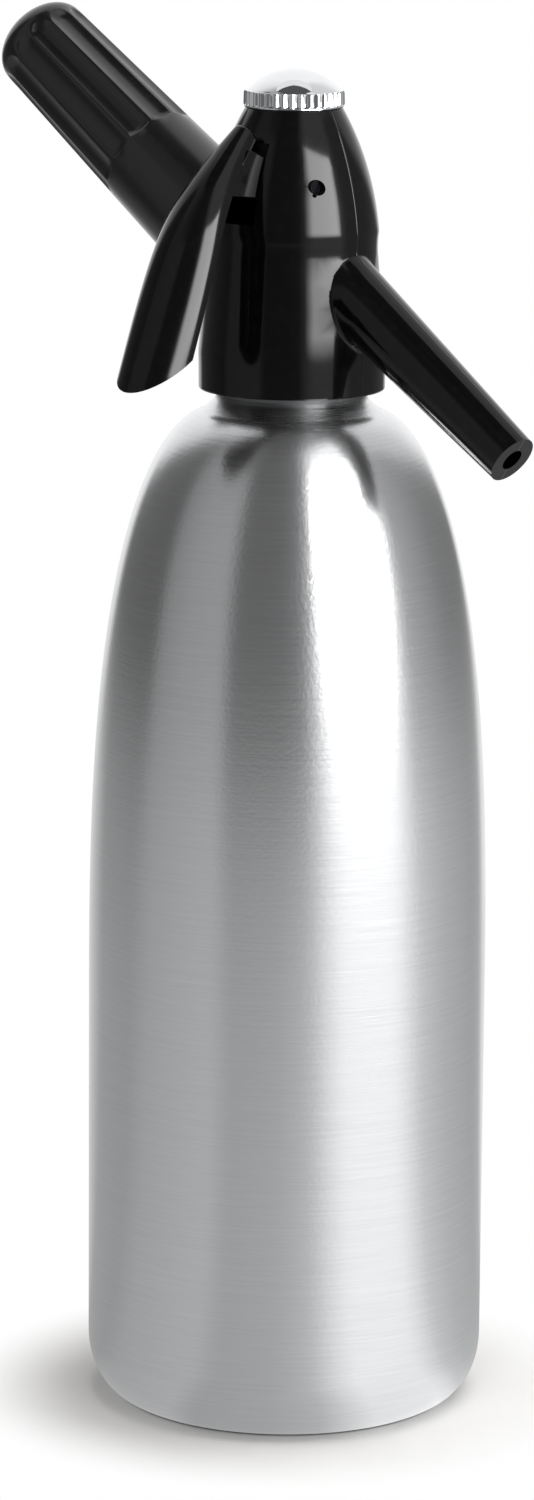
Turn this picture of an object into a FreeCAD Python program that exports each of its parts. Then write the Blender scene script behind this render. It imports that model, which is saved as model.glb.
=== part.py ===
import FreeCAD, Part
import math
import os

# Soda siphon: an aluminium pressure bottle with a screwed head. The head carries a finger lever,
# a pouring spout, a chromed cap over the valve spring and a screwed holder for a gas charger.
# Frame: +Z up, origin on the bottle's axis in the plane it stands on. The spout points to +X,
# the charger holder to -X and the lever to -Y. All lengths are in millimetres.

os.makedirs("parts", exist_ok=True)

# ---- Clearances ----------------------------------------------------------------------------
RUNNING_FIT = 0.05        # radial, between a shaft and the bore it turns or slides in
SEAL_FIT = 0.05           # radial, between a seal ring and the two walls beside it
FACE_GAP = 0.1            # between two flat faces that turn on each other
THREAD_FIT = 0.1          # radial, between a thread's crest and the bore around it
PART_GAP = 0.3            # between outer pieces that move past each other

# ---- Bottle --------------------------------------------------------------------------------
BODY_R = 47.5             # straight body, outside
BOTTLE_WALL = 1.4
FLOOR = 2.2
CORNER_WIDTH = 9.5        # rounding between wall and foot, seen from the side
CORNER_HEIGHT = 14.5
FOOT_WIDTH = 8.0          # flat ring that the bottle stands on
PUNT_RISE = 7.0           # height of the hollow under the bottle
SHOULDER_START = 101.6    # height at which the body starts to draw in
SHOULDER_HEIGHT = 143.6
SHOULDER_Z_POWER = 2.56   # the shoulder is (r/R)^a + (z/h)^b = 1
SHOULDER_R_POWER = 3.29
NECK_R = 16.6
NECK_BORE_R = 13.2
NECK_RISE = 17.3          # rim of the neck above the point where the shoulder would close
NECK_FILLET = 2.2
NECK_THREAD_DEPTH = 0.75
NECK_THREAD_PITCH = 2.5
NECK_THREAD_LENGTH = 10.0

# ---- Dip tube and what seals it in the neck ----------------------------------------------------
TUBE_R = 4.0
TUBE_WALL = 1.0
TUBE_FOOT_GAP = 3.0       # space under the tube's lower end
COLLAR_FLANGE = 1.2
COLLAR_FLANGE_R = 15.8
COLLAR_HUB_LENGTH = 6.5
GAS_HOLE_R = 1.2
GAS_HOLE_CIRCLE_R = 9.0
GAS_HOLE_COUNT = 4
GASKET_THICKNESS = 1.0
GASKET_INNER_R = 11.0

# ---- Valve body ----------------------------------------------------------------------------
CORE_SKIRT_WALL = 1.35
CORE_SKIRT_DROP = 18.3
PLATE_THICKNESS = 3.2
COLUMN_R = 10.4
CHAMBER_R = 6.5
CHAMBER_FLOOR = 5.7       # heights in the head are measured from the plate's underside
SEAT_HOLE_R = 2.5
SEAT_LIP = 1.0
SEAT_LIP_RISE = 0.8
SOCKET_R = 5.6
SOCKET_DEPTH = 2.6
GUIDE_FLOOR = 19.2        # underside of the stem guide
GUIDE_R = 7.5
GUIDE_LENGTH = 5.3
SPRING_ROOM_R = 6.9
CORE_NECK_R = 10.0
CAP_BORE_R = 8.6
WINDOW_ABOVE_PIVOT = 5.4
CHEEK_THICKNESS = 3.0
CHEEK_FRONT = 3.6         # from the pivot towards the lever
CHEEK_BACK = 6.0
CHEEK_HALF_HEIGHT = 4.2

# ---- Valve stem ------------------------------------------------------------------------------
STEM_R = 2.0
WASHER_R = 4.2
WASHER_THICKNESS = 1.7
POPPET_R = 4.4
POPPET_THICKNESS = 2.0
SEAL_POCKET_R = 3.6
SEAL_POCKET_DEPTH = 2.2
SPRING_SEAT_R = 5.6
SPRING_SEAT_THICKNESS = 1.2
STEM_NUT_R = 3.3
STEM_NUT_HEIGHT = 2.4
VALVE_LIFT_ROOM = 0.15    # slack between the lever's fork and the spring seat
SPRING_R = 4.6
SPRING_WIRE_R = 0.4
SPRING_TURNS = 7

# ---- Head shell ------------------------------------------------------------------------------
SHELL_SKIRT_DROP = 19.9
SKIRT_R = 22.05
SKIRT_CHAMFER = 0.3
SKIRT_BAND = 9.0          # height of the skirt's straight part above its lower edge
WAIST_R = 19.95
WAIST_HEIGHT = 12.6
CREASE_R = 20.2
CREASE_HEIGHT = 17.4
DOME_R = 17.6             # the dome's arc passes here, half way up
DOME_HEIGHT = 31.2
HEAD_TOP_R = 11.35
HEAD_TOP_HEIGHT = 46.0
SHELL_WALL = 2.3
SLOT_LEDGE_HEIGHT = 20.1
SLOT_TOP_HEIGHT = 38.7
SPOUT_FILLET = 1.0

# ---- Chromed cap -------------------------------------------------------------------------------
CAP_R = 11.85
CAP_RIM = 0.4
CAP_BAND = 3.75
CAP_BEVEL = 0.5
CAP_DOME_RISE = 5.15
CAP_WALL = 1.6
KNURL_COUNT = 36
KNURL_DEPTH = 0.4
CAP_GASKET_THICKNESS = 0.9
CAP_THREAD_DEPTH = 0.5
CAP_THREAD_PITCH = 1.5
CAP_THREAD_LENGTH = 5.5
CAP_SKIRT_LENGTH = 8.4
CAP_SKIRT_ROOM = 1.6      # from the column's shoulder to the cap's skirt

# ---- Lever -------------------------------------------------------------------------------------
PIVOT_OFFSET = 9.3        # from the head's axis towards the lever
PIVOT_HEIGHT = 29.0
PIN_R = 1.75
PIN_HALF_LENGTH = 15.2
PIN_POCKET_R = 0.45       # moulding mark beside the pin's hole
LEVER_ROOT_HALF_WIDTH = 4.7
SLOT_SIDE_GAP = 0.4
FORK_NOSE_REACH = 9.0     # from the pivot to the nose that lifts the spring seat
FORK_NOSE_R = 1.6
LEVER_HUB_R = 4.0
LEVER_WALL = 1.8
LEVER_TOP_OUT = 9.53      # upper end of the lever's back, from the pivot
LEVER_TOP_UP = 14.06
LEVER_BEND_OUT = 30.9     # first guide point of the back's curve
LEVER_BEND_DOWN = 2.76
LEVER_HIP_OUT = 31.4      # second guide point
LEVER_HIP_DOWN = 5.68
LEVER_TIP_OUT = 46.95     # lower end of the back
LEVER_TIP_DOWN = 44.46
LEVER_TOP_HALF_WIDTH = 3.1
LEVER_WAIST_HALF_WIDTH = 10.4
LEVER_TIP_HALF_WIDTH = 9.2
LEVER_TOP_DEPTH = 4.0
LEVER_WAIST_DEPTH = 7.6
LEVER_TIP_DEPTH = 8.5
LEVER_END_SLOPE = 31.5    # degrees, of the cut across the lower end
HOLLOW_START = 0.3        # share of the length that stays solid at the top
ROOT_UPPER_SHARE = 0.1    # shares of the length between which the root joins the back
ROOT_LOWER_SHARE = 0.32
ROOT_BELOW_PIVOT = 1.2
ROOT_SINK = 0.8           # share of the section's depth from the back to the root

# ---- Spout -------------------------------------------------------------------------------------
SPOUT_AXIS_HEIGHT = 16.5
SPOUT_ANGLE = 34.4        # degrees below level
SPOUT_LENGTH = 81.8       # from the head's axis
SPOUT_ROOT_R = 8.9        # of the cone, at the head's axis
SPOUT_END_R = 6.1
OUTLET_R = 2.75
OUTLET_TUBE_R = 2.5
OUTLET_TUBE_WALL = 0.6
OUTLET_RECESS = 5.4

# ---- Charger holder and inlet, measured along the holder's axis ----------------------------------
HOLDER_AXIS_HEIGHT = 0.1
HOLDER_ANGLE = 34.3       # degrees above level
SHELL_BOSS_R = 13.75
SHELL_BOSS_END = 32.0
HOLDER_MOUTH_R = 13.7
HOLDER_TIP_R = 11.7
HOLDER_DOME = 7.0         # length of the domed end
FLUTE_START = 55.0
FLUTE_TIP_MARGIN = 10.6   # from the place where the flutes start to run out to the holder's tip
FLUTE_COUNT = 12
FLUTE_TURN = -1.5         # degrees, of the flutes about the holder's axis
FLUTE_R = 8.0
FLUTE_DEPTH = 0.9
HOLDER_TIP_WALL = 2.3
THREAD_RING_WALL = 1.2
THREAD_RING_LENGTH = 14.2
CHARGER_R = 9.0
CHARGER_LENGTH = 65.5
CHARGER_NECK_R = 4.4
CHARGER_NECK_LENGTH = 9.0
CHARGER_SHOULDER_END = 24.0
CHARGER_BOTTOM_ROUND = 7.0
CHARGER_FIT = 0.2
PIERCED_R = 1.1
PIERCED_DEPTH = 3.2
NOZZLE_THREAD_R = 10.6
NOZZLE_THREAD_DEPTH = 0.7
NOZZLE_THREAD_PITCH = 2.0
NOZZLE_THREAD_LENGTH = 10.0
NOZZLE_BARREL_R = 8.4
NOZZLE_SPIGOT_R = 4.5
NOZZLE_SPIGOT_LENGTH = 5.5
NOZZLE_FLANGE_START = 23.5
NOZZLE_END = 46.0
CHARGER_ENTRY = 8.6       # how far the charger's neck reaches into the nozzle
NOZZLE_FLARE = 2.0
CHARGER_SEAL_THICKNESS = 1.3
PIN_FLANGE_R = 3.0
PIN_FLANGE = 1.8
NEEDLE_R = 0.9
NEEDLE_BORE_R = 0.4
NEEDLE_REACH = 2.2        # into the charger
GAS_CHANNEL_R = 1.2
CHECK_CHAMBER_R = 2.6
CHECK_PLUNGER_LENGTH = 2.7
CHECK_PLUNGER_FIT = 0.3
CHECK_TRAVEL = 0.8
CHECK_RETAINER = 1.5
SEAL_GROOVE_DEPTH = 1.1
SEAL_GROOVE_WIDTH = 1.3
SEAL_GROOVE_SETBACK = 2.2

# ---- Heights and radii that follow from the sizes above --------------------------------------
NECK_TOP = SHOULDER_START + SHOULDER_HEIGHT + NECK_RISE
NECK_THREAD_CREST = NECK_R + NECK_THREAD_DEPTH
HEAD_Z = NECK_TOP + COLLAR_FLANGE + GASKET_THICKNESS + FACE_GAP
CORE_BORE_R = NECK_THREAD_CREST + THREAD_FIT
CORE_SKIRT_R = CORE_BORE_R + CORE_SKIRT_WALL
PIVOT_Z = HEAD_Z + PIVOT_HEIGHT
SEAT_Z = HEAD_Z + CHAMBER_FLOOR + SEAT_LIP_RISE
WASHER_Z = SEAT_Z + RUNNING_FIT
POPPET_Z = WASHER_Z + WASHER_THICKNESS
GUIDE_Z = HEAD_Z + GUIDE_FLOOR
GUIDE_TOP = GUIDE_Z + GUIDE_LENGTH
SPRING_SEAT_Z = PIVOT_Z + FORK_NOSE_R + VALVE_LIFT_ROOM
STEM_NUT_Z = SPRING_SEAT_Z + SPRING_SEAT_THICKNESS
SHELL_TOP = HEAD_Z + HEAD_TOP_HEIGHT
CAP_Z = SHELL_TOP + FACE_GAP
CORE_NECK_TOP = CAP_Z - CAP_GASKET_THICKNESS - FACE_GAP
COLUMN_TOP = HEAD_TOP_HEIGHT - CAP_SKIRT_LENGTH - CAP_SKIRT_ROOM
CAP_SHOULDER = CAP_Z + CAP_BAND
CAP_TOP = CAP_SHOULDER + CAP_DOME_RISE
CAP_CEILING = CAP_TOP - CAP_WALL - CAP_DOME_RISE / 3
CAP_THREAD_CREST = CAP_BORE_R - THREAD_FIT
CAP_SKIRT_R = CAP_THREAD_CREST - CAP_THREAD_DEPTH
SLOT_HALF_WIDTH = LEVER_ROOT_HALF_WIDTH + SLOT_SIDE_GAP
HOLDER_MOUTH = SHELL_BOSS_END + PART_GAP
CHARGER_TIP = NOZZLE_END - CHARGER_ENTRY
CHARGER_BASE = CHARGER_TIP + CHARGER_LENGTH
HOLDER_TIP_END = CHARGER_BASE + HOLDER_TIP_WALL
HOLDER_TIP_START = HOLDER_TIP_END - HOLDER_DOME
FLUTE_END = HOLDER_TIP_END - FLUTE_TIP_MARGIN
HOLDER_SLOPE = (HOLDER_MOUTH_R - HOLDER_TIP_R) / (HOLDER_TIP_START - HOLDER_MOUTH)
NOZZLE_START = NOZZLE_FLANGE_START - NOZZLE_SPIGOT_LENGTH
NOZZLE_CORE_R = NOZZLE_THREAD_R - NOZZLE_THREAD_DEPTH
THREAD_RING_BORE_R = NOZZLE_THREAD_R + THREAD_FIT
THREAD_RING_R = THREAD_RING_BORE_R + THREAD_RING_WALL
CHARGER_SEAL_START = CHARGER_TIP - FACE_GAP - CHARGER_SEAL_THICKNESS
CHARGER_POCKET_R = CHARGER_NECK_R + CHARGER_FIT
CORE_BOSS_BORE_R = NOZZLE_SPIGOT_R + RUNNING_FIT
CHECK_REST = NOZZLE_START + CHECK_RETAINER + RUNNING_FIT
CHECK_SEAT = CHECK_REST + CHECK_PLUNGER_LENGTH + CHECK_TRAVEL + RUNNING_FIT


# ---- Helpers -----------------------------------------------------------------------------------
def vec(x, y, z):
    return FreeCAD.Vector(x, y, z)


def line(start, end):
    """Straight edge between two (radius, height) points."""
    return Part.LineSegment(vec(start[0], 0, start[1]), vec(end[0], 0, end[1])).toShape()


def arc(start, middle, end):
    """Arc through three (radius, height) points."""
    points = [vec(r, 0, z) for r, z in (start, middle, end)]
    return Part.Arc(*points).toShape()


def curve(points):
    """Smooth curve through (radius, height) points."""
    spline = Part.BSplineCurve()
    spline.interpolate([vec(r, 0, z) for r, z in points])
    return spline.toShape()


def turned(edges):
    """Solid of revolution about Z of a closed outline of edges."""
    face = Part.Face(Part.Wire(edges))
    return face.revolve(vec(0, 0, 0), vec(0, 0, 1), 360)


def turned_polygon(points):
    """Solid of revolution about Z of a closed outline of straight lines."""
    ends = points[1:] + points[:1]
    return turned([line(a, b) for a, b in zip(points, ends)])


def rod(radius, low, high):
    return Part.makeCylinder(radius, high - low, vec(0, 0, low))


def ring(inner, outer, low, high):
    return rod(outer, low, high).cut(rod(inner, low, high))


def seal_ring(inner, outer, height):
    """Round seal between two walls, clear of both by the seal's fit."""
    return Part.makeTorus((inner + outer) / 2, (outer - inner) / 2 - SEAL_FIT, vec(0, 0, height))


def coil(radius, wire_r, turns, low, high):
    """Round-wire spring whose outer faces lie at the two heights."""
    rise = high - low - 2 * wire_r
    helix = Part.makeHelix(rise / turns, rise, radius)
    section = Part.Wire(Part.makeCircle(wire_r, vec(radius, 0, 0), vec(0, 1, 0)))
    spring = Part.Wire(helix).makePipeShell([section], True, True)
    spring.translate(vec(0, 0, low + wire_r))
    return spring


def male_thread(root_r, depth, pitch, length, low):
    """Helical ridge on a cylinder; its foot is sunk a little into the cylinder."""
    helix = Part.makeHelix(pitch, length, root_r)
    foot = root_r - depth / 3
    crest = root_r + depth
    half_foot = pitch * 0.36
    half_crest = pitch * 0.1
    corners = [(foot, -half_foot), (crest, -half_crest), (crest, half_crest), (foot, half_foot)]
    points = [vec(r, 0, z) for r, z in corners]
    section = Part.makePolygon(points + points[:1])
    ridge = Part.Wire(helix).makePipeShell([section], True, True)
    ridge.translate(vec(0, 0, low))
    return ridge


def along_holder(shape):
    """Moves a shape made along Z to the charger holder's axis."""
    placed = shape.copy()
    placed.rotate(vec(0, 0, 0), vec(0, 1, 0), HOLDER_ANGLE - 90)
    placed.translate(vec(0, 0, HEAD_Z + HOLDER_AXIS_HEIGHT))
    return placed


def along_spout(shape):
    """Moves a shape made along Z to the spout's axis."""
    placed = shape.copy()
    placed.rotate(vec(0, 0, 0), vec(0, 1, 0), 90 + SPOUT_ANGLE)
    placed.translate(vec(0, 0, HEAD_Z + SPOUT_AXIS_HEIGHT))
    return placed


def cross_rod(radius, half_length):
    """Cylinder along X about the lever's pivot."""
    return Part.makeCylinder(radius, 2 * half_length, vec(-half_length, -PIVOT_OFFSET, PIVOT_Z), vec(1, 0, 0))


def cross_plate(points, half_width):
    """Plate of a closed outline of (y, z) points, centred on the plane x = 0."""
    corners = [vec(-half_width, y, z) for y, z in points]
    face = Part.Face(Part.makePolygon(corners + corners[:1]))
    return face.extrude(vec(2 * half_width, 0, 0))


# ---- Bottle --------------------------------------------------------------------------------------
def shoulder_point(angle, inset):
    """Point of the shoulder's superellipse at an angle in radians, moved inwards by an inset."""
    across = math.cos(angle) ** (2 / SHOULDER_R_POWER)
    up = math.sin(angle) ** (2 / SHOULDER_Z_POWER)
    normal_r = SHOULDER_R_POWER / BODY_R * across ** (SHOULDER_R_POWER - 1)
    normal_z = SHOULDER_Z_POWER / SHOULDER_HEIGHT * up ** (SHOULDER_Z_POWER - 1)
    size = math.hypot(normal_r, normal_z)
    radius = BODY_R * across - inset * normal_r / size
    height = SHOULDER_START + SHOULDER_HEIGHT * up - inset * normal_z / size
    return radius, height


def shoulder(end_r, inset, count=14):
    """Points of the shoulder from the straight body up to the place where it has the end radius."""
    last = math.acos(((end_r + inset / 2) / BODY_R) ** (SHOULDER_R_POWER / 2))
    return [shoulder_point(last * i / (count - 1), inset) for i in range(count)]


def corner(inset, floor):
    """Quarter ellipse between the foot and the wall, from the foot up."""
    width = CORNER_WIDTH - inset
    height = CORNER_HEIGHT - floor
    centre_r = BODY_R - CORNER_WIDTH
    diagonal = math.sqrt(0.5)
    middle = (centre_r + width * diagonal, floor + height * (1 - diagonal))
    lower = (centre_r + width * math.sin(math.pi / 8), floor + height * (1 - math.cos(math.pi / 8)))
    upper = (centre_r + width * math.cos(math.pi / 8), floor + height * (1 - math.sin(math.pi / 8)))
    return [(centre_r, floor), lower, middle, upper, (centre_r + width, floor + height)]


def bottle_profile(inset, floor, neck_r, neck_blend):
    """Closed outline of the bottle's outside, or with an inset of its inside."""
    foot = corner(inset, floor)
    foot_inner = BODY_R - CORNER_WIDTH - FOOT_WIDTH
    upper = shoulder(neck_r + neck_blend, inset)
    blend_end = (neck_r, upper[-1][1] + neck_blend / 2)
    blend_middle = (neck_r + neck_blend * 0.3, upper[-1][1] + neck_blend * 0.12)
    dome_middle = (foot_inner * 0.52, floor + PUNT_RISE * 0.74)
    edges = [arc((0, floor + PUNT_RISE), dome_middle, (foot_inner, floor))]
    edges.append(line((foot_inner, floor), foot[0]))
    edges.append(curve(foot))
    edges.append(line(foot[-1], upper[0]))
    edges.append(curve(upper))
    edges.append(arc(upper[-1], blend_middle, blend_end))
    edges.append(line(blend_end, (neck_r, NECK_TOP)))
    edges.append(line((neck_r, NECK_TOP), (0, NECK_TOP)))
    edges.append(line((0, NECK_TOP), (0, floor + PUNT_RISE)))
    return edges


def make_bottle():
    outside = turned(bottle_profile(0, 0, NECK_R, NECK_FILLET))
    inside = turned(bottle_profile(BOTTLE_WALL, FLOOR, NECK_BORE_R, NECK_FILLET / 2))
    thread_low = NECK_TOP - NECK_THREAD_LENGTH - NECK_THREAD_PITCH
    thread = male_thread(NECK_R, NECK_THREAD_DEPTH, NECK_THREAD_PITCH, NECK_THREAD_LENGTH, thread_low)
    return outside.fuse(thread).cut(inside)


# ---- Dip tube set --------------------------------------------------------------------------------
def make_tube_collar():
    hub_r = NECK_BORE_R - PART_GAP
    hub = rod(hub_r, NECK_TOP - COLLAR_HUB_LENGTH, NECK_TOP)
    flange = rod(COLLAR_FLANGE_R, NECK_TOP, NECK_TOP + COLLAR_FLANGE)
    collar = hub.fuse(flange).cut(rod(TUBE_R, NECK_TOP - COLLAR_HUB_LENGTH, HEAD_Z))
    for i in range(GAS_HOLE_COUNT):
        hole = rod(GAS_HOLE_R, NECK_TOP - COLLAR_HUB_LENGTH, HEAD_Z)
        hole.translate(vec(GAS_HOLE_CIRCLE_R, 0, 0))
        hole.rotate(vec(0, 0, 0), vec(0, 0, 1), 360 / GAS_HOLE_COUNT * i)
        collar = collar.cut(hole)
    return collar.removeSplitter()


def make_dip_tube():
    foot = FLOOR + PUNT_RISE + TUBE_FOOT_GAP
    return ring(TUBE_R - TUBE_WALL, TUBE_R, foot, HEAD_Z + SOCKET_DEPTH - PART_GAP)


def make_tube_seal():
    return seal_ring(TUBE_R, SOCKET_R, HEAD_Z + SOCKET_DEPTH / 2)


def make_head_gasket():
    low = NECK_TOP + COLLAR_FLANGE
    return ring(GASKET_INNER_R, COLLAR_FLANGE_R, low, low + GASKET_THICKNESS)


# ---- Valve body ------------------------------------------------------------------------------
def make_valve_body():
    plate_top = HEAD_Z + PLATE_THICKNESS
    column_top = HEAD_Z + COLUMN_TOP
    below = HEAD_Z - CORE_SKIRT_DROP
    body = rod(CORE_SKIRT_R, below, plate_top)
    body = body.fuse(rod(COLUMN_R, HEAD_Z, column_top))
    body = body.fuse(rod(CORE_NECK_R, column_top - 1, CORE_NECK_TOP))
    boss_start = GAS_HOLE_CIRCLE_R - GAS_HOLE_R
    boss = along_holder(rod(NOZZLE_BARREL_R, boss_start, NOZZLE_FLANGE_START))
    body = body.fuse(boss)
    outer_cheek = SLOT_HALF_WIDTH + CHEEK_THICKNESS
    cheek_front = -PIVOT_OFFSET - CHEEK_FRONT
    cheek_back = -PIVOT_OFFSET + CHEEK_BACK
    cheek_low = PIVOT_Z - CHEEK_HALF_HEIGHT
    cheek_high = PIVOT_Z + CHEEK_HALF_HEIGHT
    outline = [(cheek_front, cheek_low), (cheek_back, cheek_low)]
    outline += [(cheek_back, cheek_high), (cheek_front, cheek_high)]
    body = body.fuse(cross_plate(outline, outer_cheek))
    body = body.cut(rod(CORE_BORE_R, below - 1, HEAD_Z))
    body = body.cut(rod(SOCKET_R, HEAD_Z - 1, HEAD_Z + SOCKET_DEPTH))
    body = body.cut(rod(SEAT_HOLE_R, HEAD_Z, SEAT_Z))
    body = body.cut(rod(CHAMBER_R, HEAD_Z + CHAMBER_FLOOR, GUIDE_Z))
    body = body.fuse(ring(SEAT_HOLE_R, SEAT_HOLE_R + SEAT_LIP, HEAD_Z + CHAMBER_FLOOR, SEAT_Z))
    body = body.cut(rod(GUIDE_R + RUNNING_FIT, GUIDE_Z, GUIDE_TOP))
    body = body.cut(rod(SPRING_ROOM_R, GUIDE_TOP - 1, column_top))
    body = body.cut(rod(CAP_BORE_R, column_top - 1, CORE_NECK_TOP + 1))
    window_high = PIVOT_Z + WINDOW_ABOVE_PIVOT
    window = [(-CORE_SKIRT_R, GUIDE_TOP), (0, GUIDE_TOP), (0, window_high), (-CORE_SKIRT_R, window_high)]
    body = body.cut(cross_plate(window, SLOT_HALF_WIDTH))
    body = body.cut(cross_rod(PIN_R, CORE_SKIRT_R))
    body = body.cut(along_spout(rod(OUTLET_TUBE_R, 0, SPOUT_LENGTH / 2)))
    body = body.cut(along_holder(rod(CORE_BOSS_BORE_R, NOZZLE_START, NOZZLE_END)))
    body = body.cut(along_holder(rod(GAS_CHANNEL_R, boss_start + GAS_HOLE_R, NOZZLE_END)))
    channel_height = GAS_HOLE_CIRCLE_R * math.tan(math.radians(HOLDER_ANGLE)) + HOLDER_AXIS_HEIGHT
    gas_hole = rod(GAS_HOLE_R, HEAD_Z - 1, HEAD_Z + channel_height)
    gas_hole.translate(vec(-GAS_HOLE_CIRCLE_R, 0, 0))
    return body.cut(gas_hole).removeSplitter()


def make_stem_guide():
    guide = ring(STEM_R + RUNNING_FIT, GUIDE_R, GUIDE_Z, GUIDE_TOP)
    return guide.cut(rod(SEAL_POCKET_R, GUIDE_Z, GUIDE_Z + SEAL_POCKET_DEPTH))


def make_stem_seal():
    return seal_ring(STEM_R, SEAL_POCKET_R, GUIDE_Z + SEAL_POCKET_DEPTH / 2)


# ---- Valve stem set --------------------------------------------------------------------------
def make_valve_stem():
    top = STEM_NUT_Z + STEM_NUT_HEIGHT + STEM_R / 2
    stem = rod(STEM_R, POPPET_Z, top)
    return stem.fuse(rod(POPPET_R, POPPET_Z, POPPET_Z + POPPET_THICKNESS)).removeSplitter()


def make_valve_washer():
    return rod(WASHER_R, WASHER_Z, POPPET_Z)


def make_spring_seat():
    return ring(STEM_R, SPRING_SEAT_R, SPRING_SEAT_Z, STEM_NUT_Z)


def make_stem_nut():
    corners = [vec(STEM_NUT_R * math.cos(math.radians(60 * i)), STEM_NUT_R * math.sin(math.radians(60 * i)),
                   STEM_NUT_Z) for i in range(6)]
    nut = Part.Face(Part.makePolygon(corners + corners[:1])).extrude(vec(0, 0, STEM_NUT_HEIGHT))
    return nut.cut(rod(STEM_R, STEM_NUT_Z, STEM_NUT_Z + STEM_NUT_HEIGHT))


def make_valve_spring():
    return coil(SPRING_R, SPRING_WIRE_R, SPRING_TURNS, STEM_NUT_Z, CAP_CEILING)


# ---- Chromed cap -----------------------------------------------------------------------------
def make_cap_gasket():
    return ring(CAP_BORE_R + RUNNING_FIT, CORE_NECK_R - RUNNING_FIT, CORE_NECK_TOP, CAP_Z - FACE_GAP)


def knurled_band(low, high):
    """Prism with a star outline: a ring of upright teeth."""
    count = 2 * KNURL_COUNT
    radii = [CAP_R, CAP_R - KNURL_DEPTH] * KNURL_COUNT
    angles = [2 * math.pi * i / count for i in range(count)]
    corners = [vec(r * math.cos(a), r * math.sin(a), low) for r, a in zip(radii, angles)]
    return Part.Face(Part.makePolygon(corners + corners[:1])).extrude(vec(0, 0, high - low))


def make_top_cap():
    band_r = CAP_R - KNURL_DEPTH / 2
    dome_base = (band_r - CAP_BEVEL, CAP_SHOULDER + CAP_BEVEL / 2)
    rise = CAP_TOP - dome_base[1]
    ball_r = (dome_base[0] ** 2 + rise ** 2) / (2 * rise)
    half = math.asin(dome_base[0] / ball_r) / 2
    dome_middle = (ball_r * math.sin(half), CAP_TOP - ball_r + ball_r * math.cos(half))
    edges = [line((0, CAP_SHOULDER), (band_r, CAP_SHOULDER))]
    edges.append(line((band_r, CAP_SHOULDER), dome_base))
    edges.append(arc(dome_base, dome_middle, (0, CAP_TOP)))
    edges.append(line((0, CAP_TOP), (0, CAP_SHOULDER)))
    cap = turned(edges)
    cap = cap.fuse(rod(CAP_R, CAP_Z, CAP_Z + CAP_RIM))
    cap = cap.fuse(knurled_band(CAP_Z + CAP_RIM, CAP_SHOULDER))
    skirt_low = CAP_Z - CAP_SKIRT_LENGTH
    cap = cap.fuse(rod(CAP_SKIRT_R, skirt_low, CAP_Z))
    thread_low = skirt_low + CAP_THREAD_PITCH / 2
    cap = cap.fuse(male_thread(CAP_SKIRT_R, CAP_THREAD_DEPTH, CAP_THREAD_PITCH, CAP_THREAD_LENGTH, thread_low))
    return cap.cut(rod(SPRING_ROOM_R, skirt_low - 1, CAP_CEILING))


# ---- Head shell ------------------------------------------------------------------------------
def shell_outline():
    low = HEAD_Z - SHELL_SKIRT_DROP
    skirt_foot_r = SKIRT_R - SKIRT_CHAMFER
    band_top = low + SKIRT_BAND
    crease = (CREASE_R, HEAD_Z + CREASE_HEIGHT)
    waist = (WAIST_R, HEAD_Z + WAIST_HEIGHT)
    hollow = ((WAIST_R + CREASE_R) / 2 - 0.1, (waist[1] + crease[1]) / 2)
    edges = [line((0, low), (skirt_foot_r, low))]
    edges.append(line((skirt_foot_r, low), (SKIRT_R - 0.1, low + SKIRT_CHAMFER)))
    edges.append(line((SKIRT_R - 0.1, low + SKIRT_CHAMFER), (SKIRT_R, band_top)))
    edges.append(line((SKIRT_R, band_top), waist))
    edges.append(arc(waist, hollow, crease))
    edges.append(arc(crease, (DOME_R, HEAD_Z + DOME_HEIGHT), (HEAD_TOP_R, SHELL_TOP)))
    edges.append(line((HEAD_TOP_R, SHELL_TOP), (0, SHELL_TOP)))
    edges.append(line((0, SHELL_TOP), (0, low)))
    return edges


def shell_cavity():
    """Hollow of the shell: a seat for the valve body's skirt, then room for its column and boss."""
    low = HEAD_Z - SHELL_SKIRT_DROP
    skirt_r = CORE_SKIRT_R + RUNNING_FIT
    step = HEAD_Z + PLATE_THICKNESS + RUNNING_FIT
    room_r = WAIST_R - SHELL_WALL
    cheek_top = PIVOT_Z + CHEEK_HALF_HEIGHT + RUNNING_FIT
    cheek_corner = math.hypot(SLOT_HALF_WIDTH + CHEEK_THICKNESS, PIVOT_OFFSET + CHEEK_FRONT)
    neck_r = CORE_NECK_R + 2 * RUNNING_FIT
    column_r = max(COLUMN_R, CORE_NECK_R) + RUNNING_FIT
    column_top = max(HEAD_Z + COLUMN_TOP + RUNNING_FIT, cheek_top)
    points = [(0, low - 1), (skirt_r, low - 1), (skirt_r, step), (room_r, step)]
    points += [(room_r, HEAD_Z + CREASE_HEIGHT), (cheek_corner + RUNNING_FIT, cheek_top)]
    points += [(column_r, column_top), (neck_r, column_top + 1), (neck_r, SHELL_TOP + 1), (0, SHELL_TOP + 1)]
    return turned_polygon(points)


def spout_cone():
    return turned_polygon([(0, 0), (SPOUT_ROOT_R, 0), (SPOUT_END_R, SPOUT_LENGTH), (0, SPOUT_LENGTH)])


def rounded_root(shape):
    """Rounds the line where the spout's cone leaves the skirt."""
    direction = vec(math.cos(math.radians(SPOUT_ANGLE)), 0, -math.sin(math.radians(SPOUT_ANGLE)))
    start = vec(0, 0, HEAD_Z + SPOUT_AXIS_HEIGHT)
    taper = (SPOUT_ROOT_R - SPOUT_END_R) / SPOUT_LENGTH
    cosine = math.cos(math.atan(taper))
    chosen = []
    for edge in shape.Edges:
        points = edge.discretize(7)
        reach = [(p - start).dot(direction) for p in points]
        off = [abs((p - start).cross(direction).Length - SPOUT_ROOT_R + taper * s) for p, s in zip(points, reach)]
        if max(off) * cosine < 0.02 and 0 < min(reach) and max(reach) < SPOUT_LENGTH / 2:
            chosen.append(edge)
    return shape.makeFillet(SPOUT_FILLET, chosen)


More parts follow.
